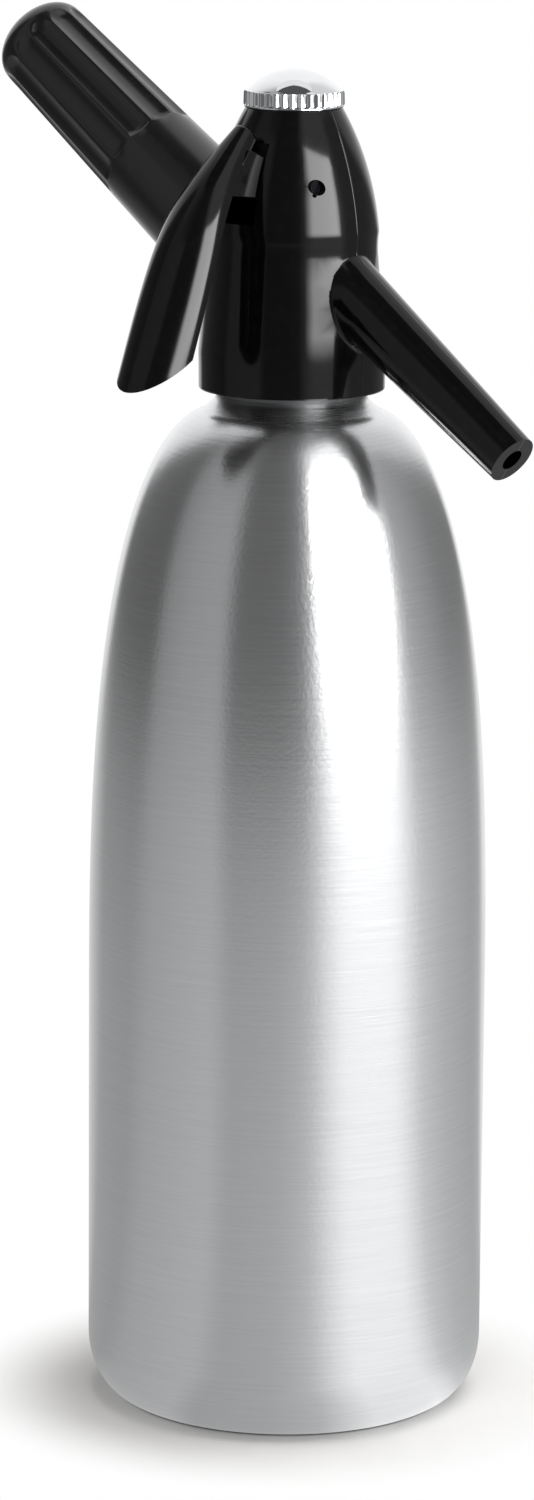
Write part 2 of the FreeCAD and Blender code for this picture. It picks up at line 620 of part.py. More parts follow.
def make_head_shell():
    shell = turned(shell_outline()).fuse(along_spout(spout_cone())).removeSplitter()
    shell = rounded_root(shell)
    shell = shell.fuse(along_holder(rod(SHELL_BOSS_R, 0, SHELL_BOSS_END)))
    shell = shell.cut(shell_cavity())
    shell = shell.cut(along_spout(rod(OUTLET_TUBE_R + SEAL_FIT, 0, SPOUT_LENGTH)))
    shell = shell.cut(along_spout(rod(OUTLET_R, SPOUT_LENGTH - OUTLET_RECESS, SPOUT_LENGTH + 1)))
    shell = shell.cut(along_holder(rod(NOZZLE_BARREL_R + PART_GAP, 0, SHELL_BOSS_END + 1)))
    slot_low = HEAD_Z + SLOT_LEDGE_HEIGHT
    slot_high = HEAD_Z + SLOT_TOP_HEIGHT
    slot = [(-SKIRT_R - 1, slot_low), (-PIVOT_OFFSET, slot_low)]
    slot += [(-PIVOT_OFFSET, slot_high), (-SKIRT_R - 1, slot_high)]
    shell = shell.cut(cross_plate(slot, SLOT_HALF_WIDTH))
    pin_hole = cross_rod(PIN_R + SEAL_FIT, SKIRT_R)
    pocket = cross_rod(PIN_POCKET_R, SKIRT_R)
    pocket.translate(vec(0, -PIN_R / 2, -PIN_R - SEAL_FIT))
    return shell.cut(pin_hole).cut(pocket).removeSplitter()


def make_lever_pin():
    return cross_rod(PIN_R, PIN_HALF_LENGTH)


def make_outlet_tube():
    start = CHAMBER_R / math.cos(math.radians(SPOUT_ANGLE)) + OUTLET_TUBE_R
    return along_spout(ring(OUTLET_TUBE_R - OUTLET_TUBE_WALL, OUTLET_TUBE_R, start, SPOUT_LENGTH - OUTLET_RECESS))


# ---- Lever -----------------------------------------------------------------------------------
def lever_point(share):
    """Point of the lever's back, a four-point Bezier curve in the plane x = 0, and its direction."""
    guides = [(-LEVER_TOP_OUT, LEVER_TOP_UP), (-LEVER_BEND_OUT, -LEVER_BEND_DOWN)]
    guides += [(-LEVER_HIP_OUT, -LEVER_HIP_DOWN), (-LEVER_TIP_OUT, -LEVER_TIP_DOWN)]
    rest = 1 - share
    weights = [rest ** 3, 3 * rest ** 2 * share, 3 * rest * share ** 2, share ** 3]
    slopes = [-3 * rest ** 2, 3 * rest ** 2 - 6 * rest * share, 6 * rest * share - 3 * share ** 2, 3 * share ** 2]
    y = sum(w * g[0] for w, g in zip(weights, guides)) - PIVOT_OFFSET
    z = sum(w * g[1] for w, g in zip(weights, guides)) + PIVOT_Z
    run_y = sum(s * g[0] for s, g in zip(slopes, guides))
    run_z = sum(s * g[1] for s, g in zip(slopes, guides))
    size = math.hypot(run_y, run_z)
    return y, z, run_y / size, run_z / size


def blended(first, middle, last, share):
    """Value that goes from the first to the last size, drawn towards the middle one."""
    rest = 1 - share
    return first * rest ** 2 + 2 * middle * share * rest + last * share ** 2


def lever_section(share, wall, over):
    """Half ellipse across the lever's back. A wall makes it smaller; over deepens it past the rim."""
    y, z, run_y, run_z = lever_point(share)
    inward_y = -run_z
    inward_z = run_y
    half_width = blended(LEVER_TOP_HALF_WIDTH, LEVER_WAIST_HALF_WIDTH, LEVER_TIP_HALF_WIDTH, share)
    depth = blended(LEVER_TOP_DEPTH, LEVER_WAIST_DEPTH, LEVER_TIP_DEPTH, share)
    points = []
    for i in range(13):
        angle = math.pi * i / 12
        x = -(half_width - wall) * math.cos(angle)
        inner = depth - (depth - wall) * math.sin(angle)
        points.append(vec(x, y + inner * inward_y, z + inner * inward_z))
    back = Part.BSplineCurve()
    back.interpolate(points)
    rim = [points[-1], points[0]]
    if over:
        lift = vec(0, inward_y * over, inward_z * over)
        rim = [points[-1], points[-1] + lift, points[0] + lift, points[0]]
    edges = [back.toShape()] + [Part.LineSegment(a, b).toShape() for a, b in zip(rim, rim[1:])]
    return Part.Wire(edges)


def lever_loft(first, last, count, wall, over):
    shares = [first + (last - first) * i / (count - 1) for i in range(count)]
    return Part.makeLoft([lever_section(share, wall, over) for share in shares], True, True)


def lever_end_cut():
    """Block that trims the lower end along a slope that rises towards the bottle."""
    slope = math.radians(LEVER_END_SLOPE)
    tip_y = -PIVOT_OFFSET - LEVER_TIP_OUT
    tip_z = PIVOT_Z - LEVER_TIP_DOWN
    reach = 4 * LEVER_TIP_DEPTH
    run_y = reach * math.cos(slope)
    run_z = reach * math.sin(slope)
    outline = [(tip_y - run_y, tip_z - run_z), (tip_y + run_y, tip_z + run_z)]
    outline += [(tip_y + run_y, tip_z - 2 * reach), (tip_y - run_y, tip_z - 2 * reach)]
    return cross_plate(outline, 2 * LEVER_TIP_HALF_WIDTH)


def lever_root():
    """Block from the pivot's hub to the back, with a fork that reaches round the valve stem."""
    upper = lever_point(ROOT_UPPER_SHARE)
    lower = lever_point(ROOT_LOWER_SHARE)
    root_floor = PIVOT_Z - ROOT_BELOW_PIVOT
    upper_sink = ROOT_SINK * blended(LEVER_TOP_DEPTH, LEVER_WAIST_DEPTH, LEVER_TIP_DEPTH, ROOT_UPPER_SHARE)
    lower_sink = ROOT_SINK * blended(LEVER_TOP_DEPTH, LEVER_WAIST_DEPTH, LEVER_TIP_DEPTH, ROOT_LOWER_SHARE)
    outline = [(upper[0] - upper[3] * upper_sink, upper[1] + upper[2] * upper_sink)]
    outline.append((lower[0] - lower[3] * lower_sink, root_floor))
    outline.append((-PIVOT_OFFSET, root_floor))
    outline.append((-PIVOT_OFFSET, PIVOT_Z + LEVER_HUB_R))
    block = cross_plate(outline, LEVER_ROOT_HALF_WIDTH)
    hub = cross_rod(LEVER_HUB_R, LEVER_ROOT_HALF_WIDTH)
    bar = [(-PIVOT_OFFSET, PIVOT_Z - FORK_NOSE_R), (FORK_NOSE_REACH - PIVOT_OFFSET, PIVOT_Z - FORK_NOSE_R)]
    bar += [(FORK_NOSE_REACH - PIVOT_OFFSET, PIVOT_Z + FORK_NOSE_R), (-PIVOT_OFFSET, PIVOT_Z + FORK_NOSE_R)]
    fork = cross_plate(bar, LEVER_ROOT_HALF_WIDTH)
    nose = cross_rod(FORK_NOSE_R, LEVER_ROOT_HALF_WIDTH)
    nose.translate(vec(0, FORK_NOSE_REACH, 0))
    stem_gap = STEM_R + PART_GAP
    gap = [(-PIVOT_OFFSET + LEVER_HUB_R, PIVOT_Z - LEVER_HUB_R), (2 * FORK_NOSE_REACH, PIVOT_Z - LEVER_HUB_R)]
    gap += [(2 * FORK_NOSE_REACH, PIVOT_Z + LEVER_HUB_R), (-PIVOT_OFFSET + LEVER_HUB_R, PIVOT_Z + LEVER_HUB_R)]
    return block.fuse([hub, fork, nose]).cut(cross_plate(gap, stem_gap))


def make_lever():
    body = lever_loft(0, 1.06, 25, 0, 0)
    hollow = lever_loft(HOLLOW_START, 1.1, 17, LEVER_WALL, LEVER_WALL)
    lever = body.cut(hollow).fuse(lever_root())
    lever = lever.cut(lever_end_cut())
    return lever.cut(cross_rod(PIN_R + RUNNING_FIT, LEVER_ROOT_HALF_WIDTH + 1)).removeSplitter()


# ---- Gas inlet -------------------------------------------------------------------------------
def make_inlet_nozzle():
    pin_seat = CHARGER_SEAL_START - PIN_FLANGE
    thread_start = HOLDER_MOUTH + FACE_GAP
    groove = NOZZLE_START + SEAL_GROOVE_SETBACK
    groove_r = NOZZLE_SPIGOT_R - SEAL_GROOVE_DEPTH
    outer = [(0, NOZZLE_START), (NOZZLE_SPIGOT_R, NOZZLE_START), (NOZZLE_SPIGOT_R, groove), (groove_r, groove)]
    outer += [(groove_r, groove + SEAL_GROOVE_WIDTH), (NOZZLE_SPIGOT_R, groove + SEAL_GROOVE_WIDTH)]
    outer += [(NOZZLE_SPIGOT_R, NOZZLE_FLANGE_START), (NOZZLE_BARREL_R, NOZZLE_FLANGE_START)]
    outer += [(NOZZLE_BARREL_R, thread_start), (NOZZLE_CORE_R, thread_start), (NOZZLE_CORE_R, NOZZLE_END)]
    outer += [(0, NOZZLE_END)]
    nozzle = turned_polygon(outer)
    thread_low = thread_start + NOZZLE_THREAD_PITCH / 2
    nozzle = nozzle.fuse(male_thread(NOZZLE_CORE_R, NOZZLE_THREAD_DEPTH, NOZZLE_THREAD_PITCH,
                                     NOZZLE_THREAD_LENGTH, thread_low))
    inner = [(0, NOZZLE_START - 1), (CHECK_CHAMBER_R, NOZZLE_START - 1), (CHECK_CHAMBER_R, CHECK_SEAT)]
    inner += [(NEEDLE_R, CHECK_SEAT), (NEEDLE_R, pin_seat), (PIN_FLANGE_R, pin_seat)]
    inner += [(PIN_FLANGE_R, CHARGER_SEAL_START), (CHARGER_POCKET_R, CHARGER_SEAL_START)]
    inner += [(CHARGER_POCKET_R, NOZZLE_END - NOZZLE_FLARE), (CHARGER_POCKET_R + NOZZLE_FLARE, NOZZLE_END)]
    inner += [(CHARGER_POCKET_R + NOZZLE_FLARE, NOZZLE_END + 1), (0, NOZZLE_END + 1)]
    return along_holder(nozzle.cut(turned_polygon(inner)))


def make_nozzle_seal():
    middle = NOZZLE_START + SEAL_GROOVE_SETBACK + SEAL_GROOVE_WIDTH / 2
    return along_holder(seal_ring(NOZZLE_SPIGOT_R - SEAL_GROOVE_DEPTH, CORE_BOSS_BORE_R, middle))


def make_piercing_pin():
    needle_end = CHARGER_TIP + NEEDLE_REACH
    flange = rod(PIN_FLANGE_R, CHARGER_SEAL_START - PIN_FLANGE, CHARGER_SEAL_START)
    point = Part.makeCone(NEEDLE_R, NEEDLE_BORE_R + FACE_GAP, NEEDLE_R, vec(0, 0, needle_end - NEEDLE_R))
    needle = rod(NEEDLE_R, CHARGER_SEAL_START, needle_end - NEEDLE_R).fuse(point)
    return along_holder(flange.fuse(needle).cut(rod(NEEDLE_BORE_R, 0, HOLDER_TIP_END)).removeSplitter())


def make_charger_seal():
    thickness_end = CHARGER_SEAL_START + CHARGER_SEAL_THICKNESS
    return along_holder(ring(PIERCED_R, CHARGER_NECK_R, CHARGER_SEAL_START, thickness_end))


def make_check_plunger():
    """Loose plunger that lies on its retainer until back pressure lifts it against the seat."""
    top = CHECK_REST + CHECK_PLUNGER_LENGTH
    body = rod(CHECK_CHAMBER_R - CHECK_PLUNGER_FIT, CHECK_REST, top)
    nose = Part.makeCone(NEEDLE_R - RUNNING_FIT, NEEDLE_R / 2, NEEDLE_R, vec(0, 0, top))
    return along_holder(body.fuse(nose).removeSplitter())


def make_check_retainer():
    return along_holder(ring(GAS_CHANNEL_R, CHECK_CHAMBER_R, NOZZLE_START, NOZZLE_START + CHECK_RETAINER))


# ---- Charger holder --------------------------------------------------------------------------
def holder_radius(reach):
    """Radius of the holder's tapered side at a reach along its axis."""
    return HOLDER_MOUTH_R - HOLDER_SLOPE * (reach - HOLDER_MOUTH)


def holder_body():
    """Tapered cylinder whose far end is a quarter ellipse with a small flat in its middle."""
    rise = HOLDER_TIP_END - HOLDER_TIP_START
    angles = [math.radians(84) * i / 12 for i in range(13)]
    dome = [(HOLDER_TIP_R * math.cos(a), HOLDER_TIP_START + rise * math.sin(a)) for a in angles]
    edges = [line((0, HOLDER_MOUTH), (HOLDER_MOUTH_R, HOLDER_MOUTH))]
    edges.append(line((HOLDER_MOUTH_R, HOLDER_MOUTH), dome[0]))
    edges.append(curve(dome))
    edges.append(line(dome[-1], (0, dome[-1][1])))
    edges.append(line((0, dome[-1][1]), (0, HOLDER_MOUTH)))
    return turned(edges)


def flute_cutter():
    """Round-ended cylinder that follows the holder's taper and cuts one shallow groove."""
    start_r = holder_radius(FLUTE_START) - FLUTE_DEPTH + FLUTE_R
    length = FLUTE_END - FLUTE_START
    cutter = Part.makeCylinder(FLUTE_R, length).fuse(Part.makeSphere(FLUTE_R, vec(0, 0, length)))
    cutter = cutter.cut(Part.makeCylinder(2 * FLUTE_R, 2 * FLUTE_R, vec(0, 0, -2 * FLUTE_R)))
    cutter.rotate(vec(0, 0, 0), vec(0, 1, 0), -math.degrees(math.atan(HOLDER_SLOPE)))
    cutter.translate(vec(start_r, 0, FLUTE_START))
    return cutter


def make_charger_holder():
    holder = holder_body()
    for i in range(FLUTE_COUNT):
        cutter = flute_cutter()
        cutter.rotate(vec(0, 0, 0), vec(0, 0, 1), 360 / FLUTE_COUNT * (i + 0.5) + FLUTE_TURN)
        holder = holder.cut(cutter)
    ring_end = HOLDER_MOUTH + THREAD_RING_LENGTH
    pocket_r = CHARGER_R + CHARGER_FIT
    round_start = CHARGER_BASE - CHARGER_BOTTOM_ROUND
    pocket = rod(THREAD_RING_R, HOLDER_MOUTH - 1, ring_end).fuse(rod(pocket_r, ring_end, round_start))
    return along_holder(holder.cut(pocket).cut(bottom_round(pocket_r, round_start, CHARGER_BASE)))


def bottom_round(radius, low, high):
    """Domed end: a straight start, a round corner and a flat middle."""
    rise = high - low
    corner_middle = (radius * 0.9, low + rise * 0.66)
    edges = [line((0, low), (radius, low)), arc((radius, low), corner_middle, (radius * 0.55, high))]
    edges.append(line((radius * 0.55, high), (0, high)))
    edges.append(line((0, high), (0, low)))
    return turned(edges)


def make_holder_thread_ring():
    ring_end = HOLDER_MOUTH + THREAD_RING_LENGTH
    return along_holder(ring(THREAD_RING_BORE_R, THREAD_RING_R, HOLDER_MOUTH, ring_end))


def make_gas_charger():
    neck_end = CHARGER_TIP + CHARGER_NECK_LENGTH
    shoulder_end = CHARGER_TIP + CHARGER_SHOULDER_END
    round_start = CHARGER_BASE - CHARGER_BOTTOM_ROUND
    shoulder_middle = ((CHARGER_NECK_R + CHARGER_R) / 2 + 1, (neck_end + shoulder_end) / 2 - 1)
    edges = [line((0, CHARGER_TIP), (CHARGER_NECK_R, CHARGER_TIP))]
    edges.append(line((CHARGER_NECK_R, CHARGER_TIP), (CHARGER_NECK_R, neck_end)))
    edges.append(arc((CHARGER_NECK_R, neck_end), shoulder_middle, (CHARGER_R, shoulder_end)))
    edges.append(line((CHARGER_R, shoulder_end), (CHARGER_R, round_start)))
    edges.append(line((CHARGER_R, round_start), (0, round_start)))
    edges.append(line((0, round_start), (0, CHARGER_TIP)))
    bulb = turned(edges).fuse(bottom_round(CHARGER_R, round_start, CHARGER_BASE - CHARGER_FIT)).removeSplitter()
    return along_holder(bulb.cut(rod(PIERCED_R, CHARGER_TIP, CHARGER_TIP + PIERCED_DEPTH)))


# ---- Nodes -----------------------------------------------------------------------------------
NODES = {
    "bottle": make_bottle,
    "tube_collar": make_tube_collar,
    "dip_tube": make_dip_tube,
    "tube_seal": make_tube_seal,
    "head_gasket": make_head_gasket,
    "valve_body": make_valve_body,
    "stem_guide": make_stem_guide,
    "stem_seal": make_stem_seal,
    "valve_stem": make_valve_stem,
    "valve_washer": make_valve_washer,
    "spring_seat": make_spring_seat,
    "stem_nut": make_stem_nut,
    "valve_spring": make_valve_spring,
    "cap_gasket": make_cap_gasket,
    "top_cap": make_top_cap,
    "head_shell": make_head_shell,
    "lever_pin": make_lever_pin,
    "outlet_tube": make_outlet_tube,
    "lever": make_lever,
    "inlet_nozzle": make_inlet_nozzle,
    "nozzle_seal": make_nozzle_seal,
    "piercing_pin": make_piercing_pin,
    "charger_seal": make_charger_seal,
    "check_plunger": make_check_plunger,
    "check_retainer": make_check_retainer,
    "charger_holder": make_charger_holder,
    "holder_thread_ring": make_holder_thread_ring,
    "gas_charger": make_gas_charger,
}

for name, make in NODES.items():
    shape = make()
    shape.exportStep(f"parts/{name}.step")
    box = shape.BoundBox
    print(f"{name}: {len(shape.Solids)} solid, {shape.Volume:.1f} mm3, valid {shape.isValid()}, "
          f"z {box.ZMin:.2f} to {box.ZMax:.2f}")
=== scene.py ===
# %% [markdown]
# # A soda siphon, dressed for the camera
# The measured solids of the siphon arrive ready made: a bottle, a screwed head, a lever, a cap, a spout and
# a holder for the gas charger. This lesson gives them finishes, remakes the curved pieces as smooth
# surfaces, and sets up a small studio. The first step loads the solids.

# %% Load the solids
import math

import bpy
import numpy as np
from mathutils import Matrix


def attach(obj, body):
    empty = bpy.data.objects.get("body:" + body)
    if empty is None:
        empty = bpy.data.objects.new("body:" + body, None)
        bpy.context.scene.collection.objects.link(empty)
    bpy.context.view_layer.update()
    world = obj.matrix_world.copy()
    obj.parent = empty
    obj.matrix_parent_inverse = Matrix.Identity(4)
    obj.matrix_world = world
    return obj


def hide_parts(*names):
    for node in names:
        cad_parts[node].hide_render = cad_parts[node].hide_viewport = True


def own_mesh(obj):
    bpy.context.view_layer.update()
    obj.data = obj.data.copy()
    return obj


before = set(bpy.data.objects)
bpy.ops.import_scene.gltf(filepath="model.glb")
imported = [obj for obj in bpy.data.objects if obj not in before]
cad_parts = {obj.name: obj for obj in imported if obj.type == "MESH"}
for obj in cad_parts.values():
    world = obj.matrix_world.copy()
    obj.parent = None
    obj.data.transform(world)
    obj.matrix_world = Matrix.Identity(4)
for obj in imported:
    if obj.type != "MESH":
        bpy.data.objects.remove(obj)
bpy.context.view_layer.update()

# %% [markdown]
# ## The camera
# The siphon is looked at from the side of its lever, a little from above, through a long lens. Four numbers
# place the camera, in metres and degrees: how far it stands from the bottle's axis, how far aside and how
# high, and how far it is turned round the bottle. Looking slightly down and tipping by less than half a
# degree finish it. A matrix is built from the three directions of the camera, because that leaves no doubt
# about the order of turns.

# %% Place the camera
TURN = math.radians(42)
LOOK_DOWN = math.radians(11.82)
TIP = math.radians(0.436)
AWAY, ASIDE, UP = 1.330, 0.00517, 0.43605
FOCAL_PIXELS = 5702
FRAME_PIXELS = 1500
level_right = np.array([math.cos(TURN), math.sin(TURN), 0.0])
level_ahead = np.array([-math.sin(TURN), math.cos(TURN), 0.0])
upright = np.array([0.0, 0.0, 1.0])
eye = -AWAY * level_ahead - ASIDE * level_right + UP * upright
ahead = math.cos(LOOK_DOWN) * level_ahead - math.sin(LOOK_DOWN) * upright
above = math.sin(LOOK_DOWN) * level_ahead + math.cos(LOOK_DOWN) * upright
right = math.cos(TIP) * level_right + math.sin(TIP) * above
top = -math.sin(TIP) * level_right + math.cos(TIP) * above
camera = bpy.data.objects.new("studio_camera", bpy.data.cameras.new("studio_camera"))
bpy.context.scene.collection.objects.link(camera)
pose = np.eye(4)
pose[:3, 0] = right
pose[:3, 1] = top
pose[:3, 2] = -ahead
pose[:3, 3] = eye
camera.matrix_world = Matrix(pose.tolist())
camera.data.sensor_fit = "AUTO"
camera.data.sensor_width = 36.0
camera.data.lens = 36.0 * FOCAL_PIXELS / FRAME_PIXELS
camera.data.clip_end = 20
camera.data.dof.use_dof = False
bpy.context.scene.camera = camera
bpy.context.scene.view_settings.view_transform = "Standard"
print("camera at", [round(v, 3) for v in camera.matrix_world.translation],
      "lens", round(camera.data.lens, 1))

# %% [markdown]
# ## Two small tools for materials
# Colours are written as the hex values a designer would pick on a screen, and Blender wants linear light,
# so one function converts them. A second one adds a shader node with its settings and links in one line.
# Everything else in this file about materials is made with these two.

# %% Colour and node helpers
def linear(hex_colour):
    """Linear RGBA of an sRGB hex value: ((c + 0.055) / 1.055) to the power 2.4, or c / 12.92 when dark."""
    parts = np.array([int(hex_colour[i:i + 2], 16) / 255 for i in (1, 3, 5)])
    light = np.where(parts > 0.04045, ((parts + 0.055) / 1.055) ** 2.4, parts / 12.92)
    return (*light.tolist(), 1.0)


def add_node(tree, kind, inputs=None, **settings):
    """Adds one node. Settings are its options, and inputs are values or the sockets that feed it."""
    node = tree.nodes.new(kind)
    for option, value in settings.items():
        setattr(node, option, value)
    for key, value in (inputs or {}).items():
        if isinstance(value, bpy.types.NodeSocket):
            tree.links.new(value, node.inputs[key])
        else:
            node.inputs[key].default_value = value
    return node


def new_material(name, colour, metallic, roughness):
    """A Principled material. Returns it, its node tree, its shader and the object's own coordinates."""
    material = bpy.data.materials.new(name)
    material.use_nodes = True
    tree = material.node_tree
    shader = tree.nodes["Principled BSDF"]
    shader.inputs["Base Color"].default_value = linear(colour)
    shader.inputs["Metallic"].default_value = metallic
    shader.inputs["Roughness"].default_value = roughness
    place = add_node(tree, "ShaderNodeTexCoord").outputs["Object"]
    return material, tree, shader, place


print("pure grey 808080 is", round(linear("#808080")[0], 4), "in linear light")

# %% [markdown]
# ## Satin aluminium
# The bottle is deep-drawn aluminium, spun against fine abrasive, so that hair-thin scratches run round it.
# The eye sees soft upright bands of light, a faint horizontal grain and a slightly grainy edge to each
# reflection. The scratches are noise that is stretched about fiftyfold along the ring and is 0.35 mm high,
# The neck was turned on a lathe, so above the shoulder regular rings fade in. Real ones are finer, and are
# drawn 1.1 mm apart so that they show. At the foot of the neck, under the head's skirt, the metal's colour
# is darkened as painted shade, and the same band is made rougher.

# %% Material of the bottle
RING_PITCH = 0.0011
TURNED_FROM, TURNED_TO = 0.228, 0.244
# Heights in metres of the band at the neck's foot that gets painted shade and a rougher finish.
SHADE_AND_DULL_FROM, SHADE_AND_DULL_TO = 0.2424, 0.2436


def satin_aluminium():
    """One noise, drawn out round the axis, gives tint, roughness and scratches. The turned rings are
    sin(2 pi z / pitch), and they, the painted shade under the skirt and the rougher neck grow with the
    height z in metres. The scales are marks per metre: scratches 18 mm long and 0.35 mm high, specks of 0.9
    mm, smudges of 36 mm."""
    material, tree, shader, place = new_material("satin_aluminium", "#D3D4D6", 1.0, 0.3)
    shader.inputs["Anisotropic"].default_value = 0.7
    shader.inputs["Anisotropic Rotation"].default_value = 0.25
    around = add_node(tree, "ShaderNodeTangent", direction_type="RADIAL", axis="Z")
    tree.links.new(around.outputs[0], shader.inputs["Tangent"])
    grain_place = add_node(tree, "ShaderNodeMapping", {"Vector": place, "Scale": (55, 55, 2900)})
    grain = add_node(tree, "ShaderNodeTexNoise", {"Vector": grain_place.outputs["Vector"], "Scale": 1.0,
                                                  "Detail": 3.0, "Roughness": 0.6})
    speck = add_node(tree, "ShaderNodeTexNoise", {"Vector": place, "Scale": 1100.0, "Detail": 2.0})
    cloud = add_node(tree, "ShaderNodeTexNoise", {"Vector": place, "Scale": 28.0, "Detail": 3.0})
    sheen = add_node(tree, "ShaderNodeMath", {0: grain.outputs["Fac"], 1: 0.06}, operation="MULTIPLY")
    smudge = add_node(tree, "ShaderNodeMath", {0: cloud.outputs["Fac"], 1: 0.04, 2: 0.185},
                      operation="MULTIPLY_ADD")
    rough = add_node(tree, "ShaderNodeMath", {0: sheen.outputs[0], 1: smudge.outputs[0]}, operation="ADD")
    tint = add_node(tree, "ShaderNodeMix", {0: grain.outputs["Fac"], 6: linear("#CACBCD"),
                                            7: linear("#D9DADB")}, data_type="RGBA")
    split = add_node(tree, "ShaderNodeSeparateXYZ", {"Vector": place})
    # Painted shade: at the neck's foot, under the head's skirt, the colour is mixed to 8A8B8D; the same mask
    # also raises the roughness.
    neck_shade_and_dull = add_node(tree, "ShaderNodeMapRange", {"Value": split.outputs["Z"], "From Min": SHADE_AND_DULL_FROM,
                                                 "From Max": SHADE_AND_DULL_TO, "To Min": 0.0, "To Max": 1.0})
    colour = add_node(tree, "ShaderNodeMix", {0: neck_shade_and_dull.outputs[0], 6: tint.outputs[2], 7: linear("#8A8B8D")},
                      data_type="RGBA")
    tree.links.new(colour.outputs[2], shader.inputs["Base Color"])
    turns = add_node(tree, "ShaderNodeMath", {0: split.outputs["Z"], 1: 2 * math.pi / RING_PITCH},
                     operation="MULTIPLY")
    ridge = add_node(tree, "ShaderNodeMath", {0: turns.outputs[0]}, operation="SINE")
    fade = add_node(tree, "ShaderNodeMapRange", {"Value": split.outputs["Z"], "From Min": TURNED_FROM,
                                                 "From Max": TURNED_TO, "To Min": 0.0, "To Max": 1.0},
                    interpolation_type="SMOOTHSTEP")
    ring = add_node(tree, "ShaderNodeMath", {0: ridge.outputs[0], 1: fade.outputs[0]}, operation="MULTIPLY")
    rough = add_node(tree, "ShaderNodeMath", {0: fade.outputs[0], 1: 0.05, 2: rough.outputs[0]},
                     operation="MULTIPLY_ADD")
    rough = add_node(tree, "ShaderNodeMath", {0: neck_shade_and_dull.outputs[0], 1: 0.35, 2: rough.outputs[0]},
                     operation="MULTIPLY_ADD")
    tree.links.new(rough.outputs[0], shader.inputs["Roughness"])
    scratch = add_node(tree, "ShaderNodeBump", {"Height": grain.outputs["Fac"], "Strength": 0.3,
                                                "Distance": 0.00003})
    pitted = add_node(tree, "ShaderNodeBump", {"Height": speck.outputs["Fac"], "Strength": 0.6,
                                               "Distance": 0.00004, "Normal": scratch.outputs[0]})
    turned = add_node(tree, "ShaderNodeBump", {"Height": ring.outputs[0], "Strength": 0.15,
                                               "Distance": 0.00002, "Normal": pitted.outputs[0]})
    tree.links.new(turned.outputs[0], shader.inputs["Normal"])
    return material


aluminium = satin_aluminium()
print("made", aluminium.name)

# %% [markdown]
# ## Black plastic, gloss and satin
# Head, lever and holder are injection-moulded in a black plastic such as ABS. Head and lever are smooth as
# glass, a deep black with sharp reflections that waver very slightly, because the wall shrinks unevenly as
# it cools. The holder's mould was left finely matt, for a better grip. The two halves of the head's mould
# meet in the plane through spout and holder, and leave a hairline there. The line is a ridge about 0.3 mm
# wide in the bump, drawn where the object's own Y is near zero.

# %% Material of the moulded pieces
def moulded_black(name, seam, low_rough, high_rough, level):
    """Haze varies the roughness between two values, and broad noise lets the surface waver. With a seam,
    a ridge follows where |y| is small. The scales are marks per metre: haze of 17 mm, dust of 2.4 mm and
    waves of 10.5 mm."""
    material, tree, shader, place = new_material(name, "#0B0B0C", 0.0, low_rough)
    shader.inputs["IOR"].default_value = 1.52
    shader.inputs["Specular IOR Level"].default_value = level
    haze = add_node(tree, "ShaderNodeTexNoise", {"Vector": place, "Scale": 60.0, "Detail": 4.0})
    rough = add_node(tree, "ShaderNodeMapRange", {"Value": haze.outputs["Fac"],
                                                  "From Min": 0.35, "From Max": 0.7,
                                                  "To Min": low_rough, "To Max": high_rough})
    tree.links.new(rough.outputs[0], shader.inputs["Roughness"])
    dust = add_node(tree, "ShaderNodeTexNoise", {"Vector": place, "Scale": 420.0, "Detail": 2.0})
    tone = add_node(tree, "ShaderNodeMapRange", {"Value": dust.outputs["Fac"], "From Min": 0.5,
                                                 "From Max": 0.8, "To Min": 0.0, "To Max": 1.0})
    colour = add_node(tree, "ShaderNodeMix", {0: tone.outputs[0], 6: linear("#060607"),
                                              7: linear("#0D0D0E")}, data_type="RGBA")
    tree.links.new(colour.outputs[2], shader.inputs["Base Color"])
    sink = add_node(tree, "ShaderNodeTexNoise", {"Vector": place, "Scale": 95.0, "Detail": 1.0})
    surface = add_node(tree, "ShaderNodeBump", {"Height": sink.outputs["Fac"], "Strength": 0.12,
                                                "Distance": 0.0004})
    if seam:
        split = add_node(tree, "ShaderNodeSeparateXYZ", {"Vector": place})
        aside = add_node(tree, "ShaderNodeMath", {0: split.outputs["Y"]}, operation="ABSOLUTE")
        line = add_node(tree, "ShaderNodeMapRange", {"Value": aside.outputs[0], "From Min": 0.00005,
                                                     "From Max": 0.00022, "To Min": 1.0, "To Max": 0.0})
        surface = add_node(tree, "ShaderNodeBump", {"Height": line.outputs[0], "Strength": 0.8,
                                                    "Distance": 0.00012, "Normal": surface.outputs[0]})
    tree.links.new(surface.outputs[0], shader.inputs["Normal"])
    return material


head_black = moulded_black("gloss_black_with_seam", True, 0.06, 0.13, 0.28)
grip_black = moulded_black("gloss_black", False, 0.08, 0.15, 0.28)
satin_black = moulded_black("satin_black", False, 0.18, 0.26, 0.6)
print("made", [m.name for m in (head_black, grip_black, satin_black)])
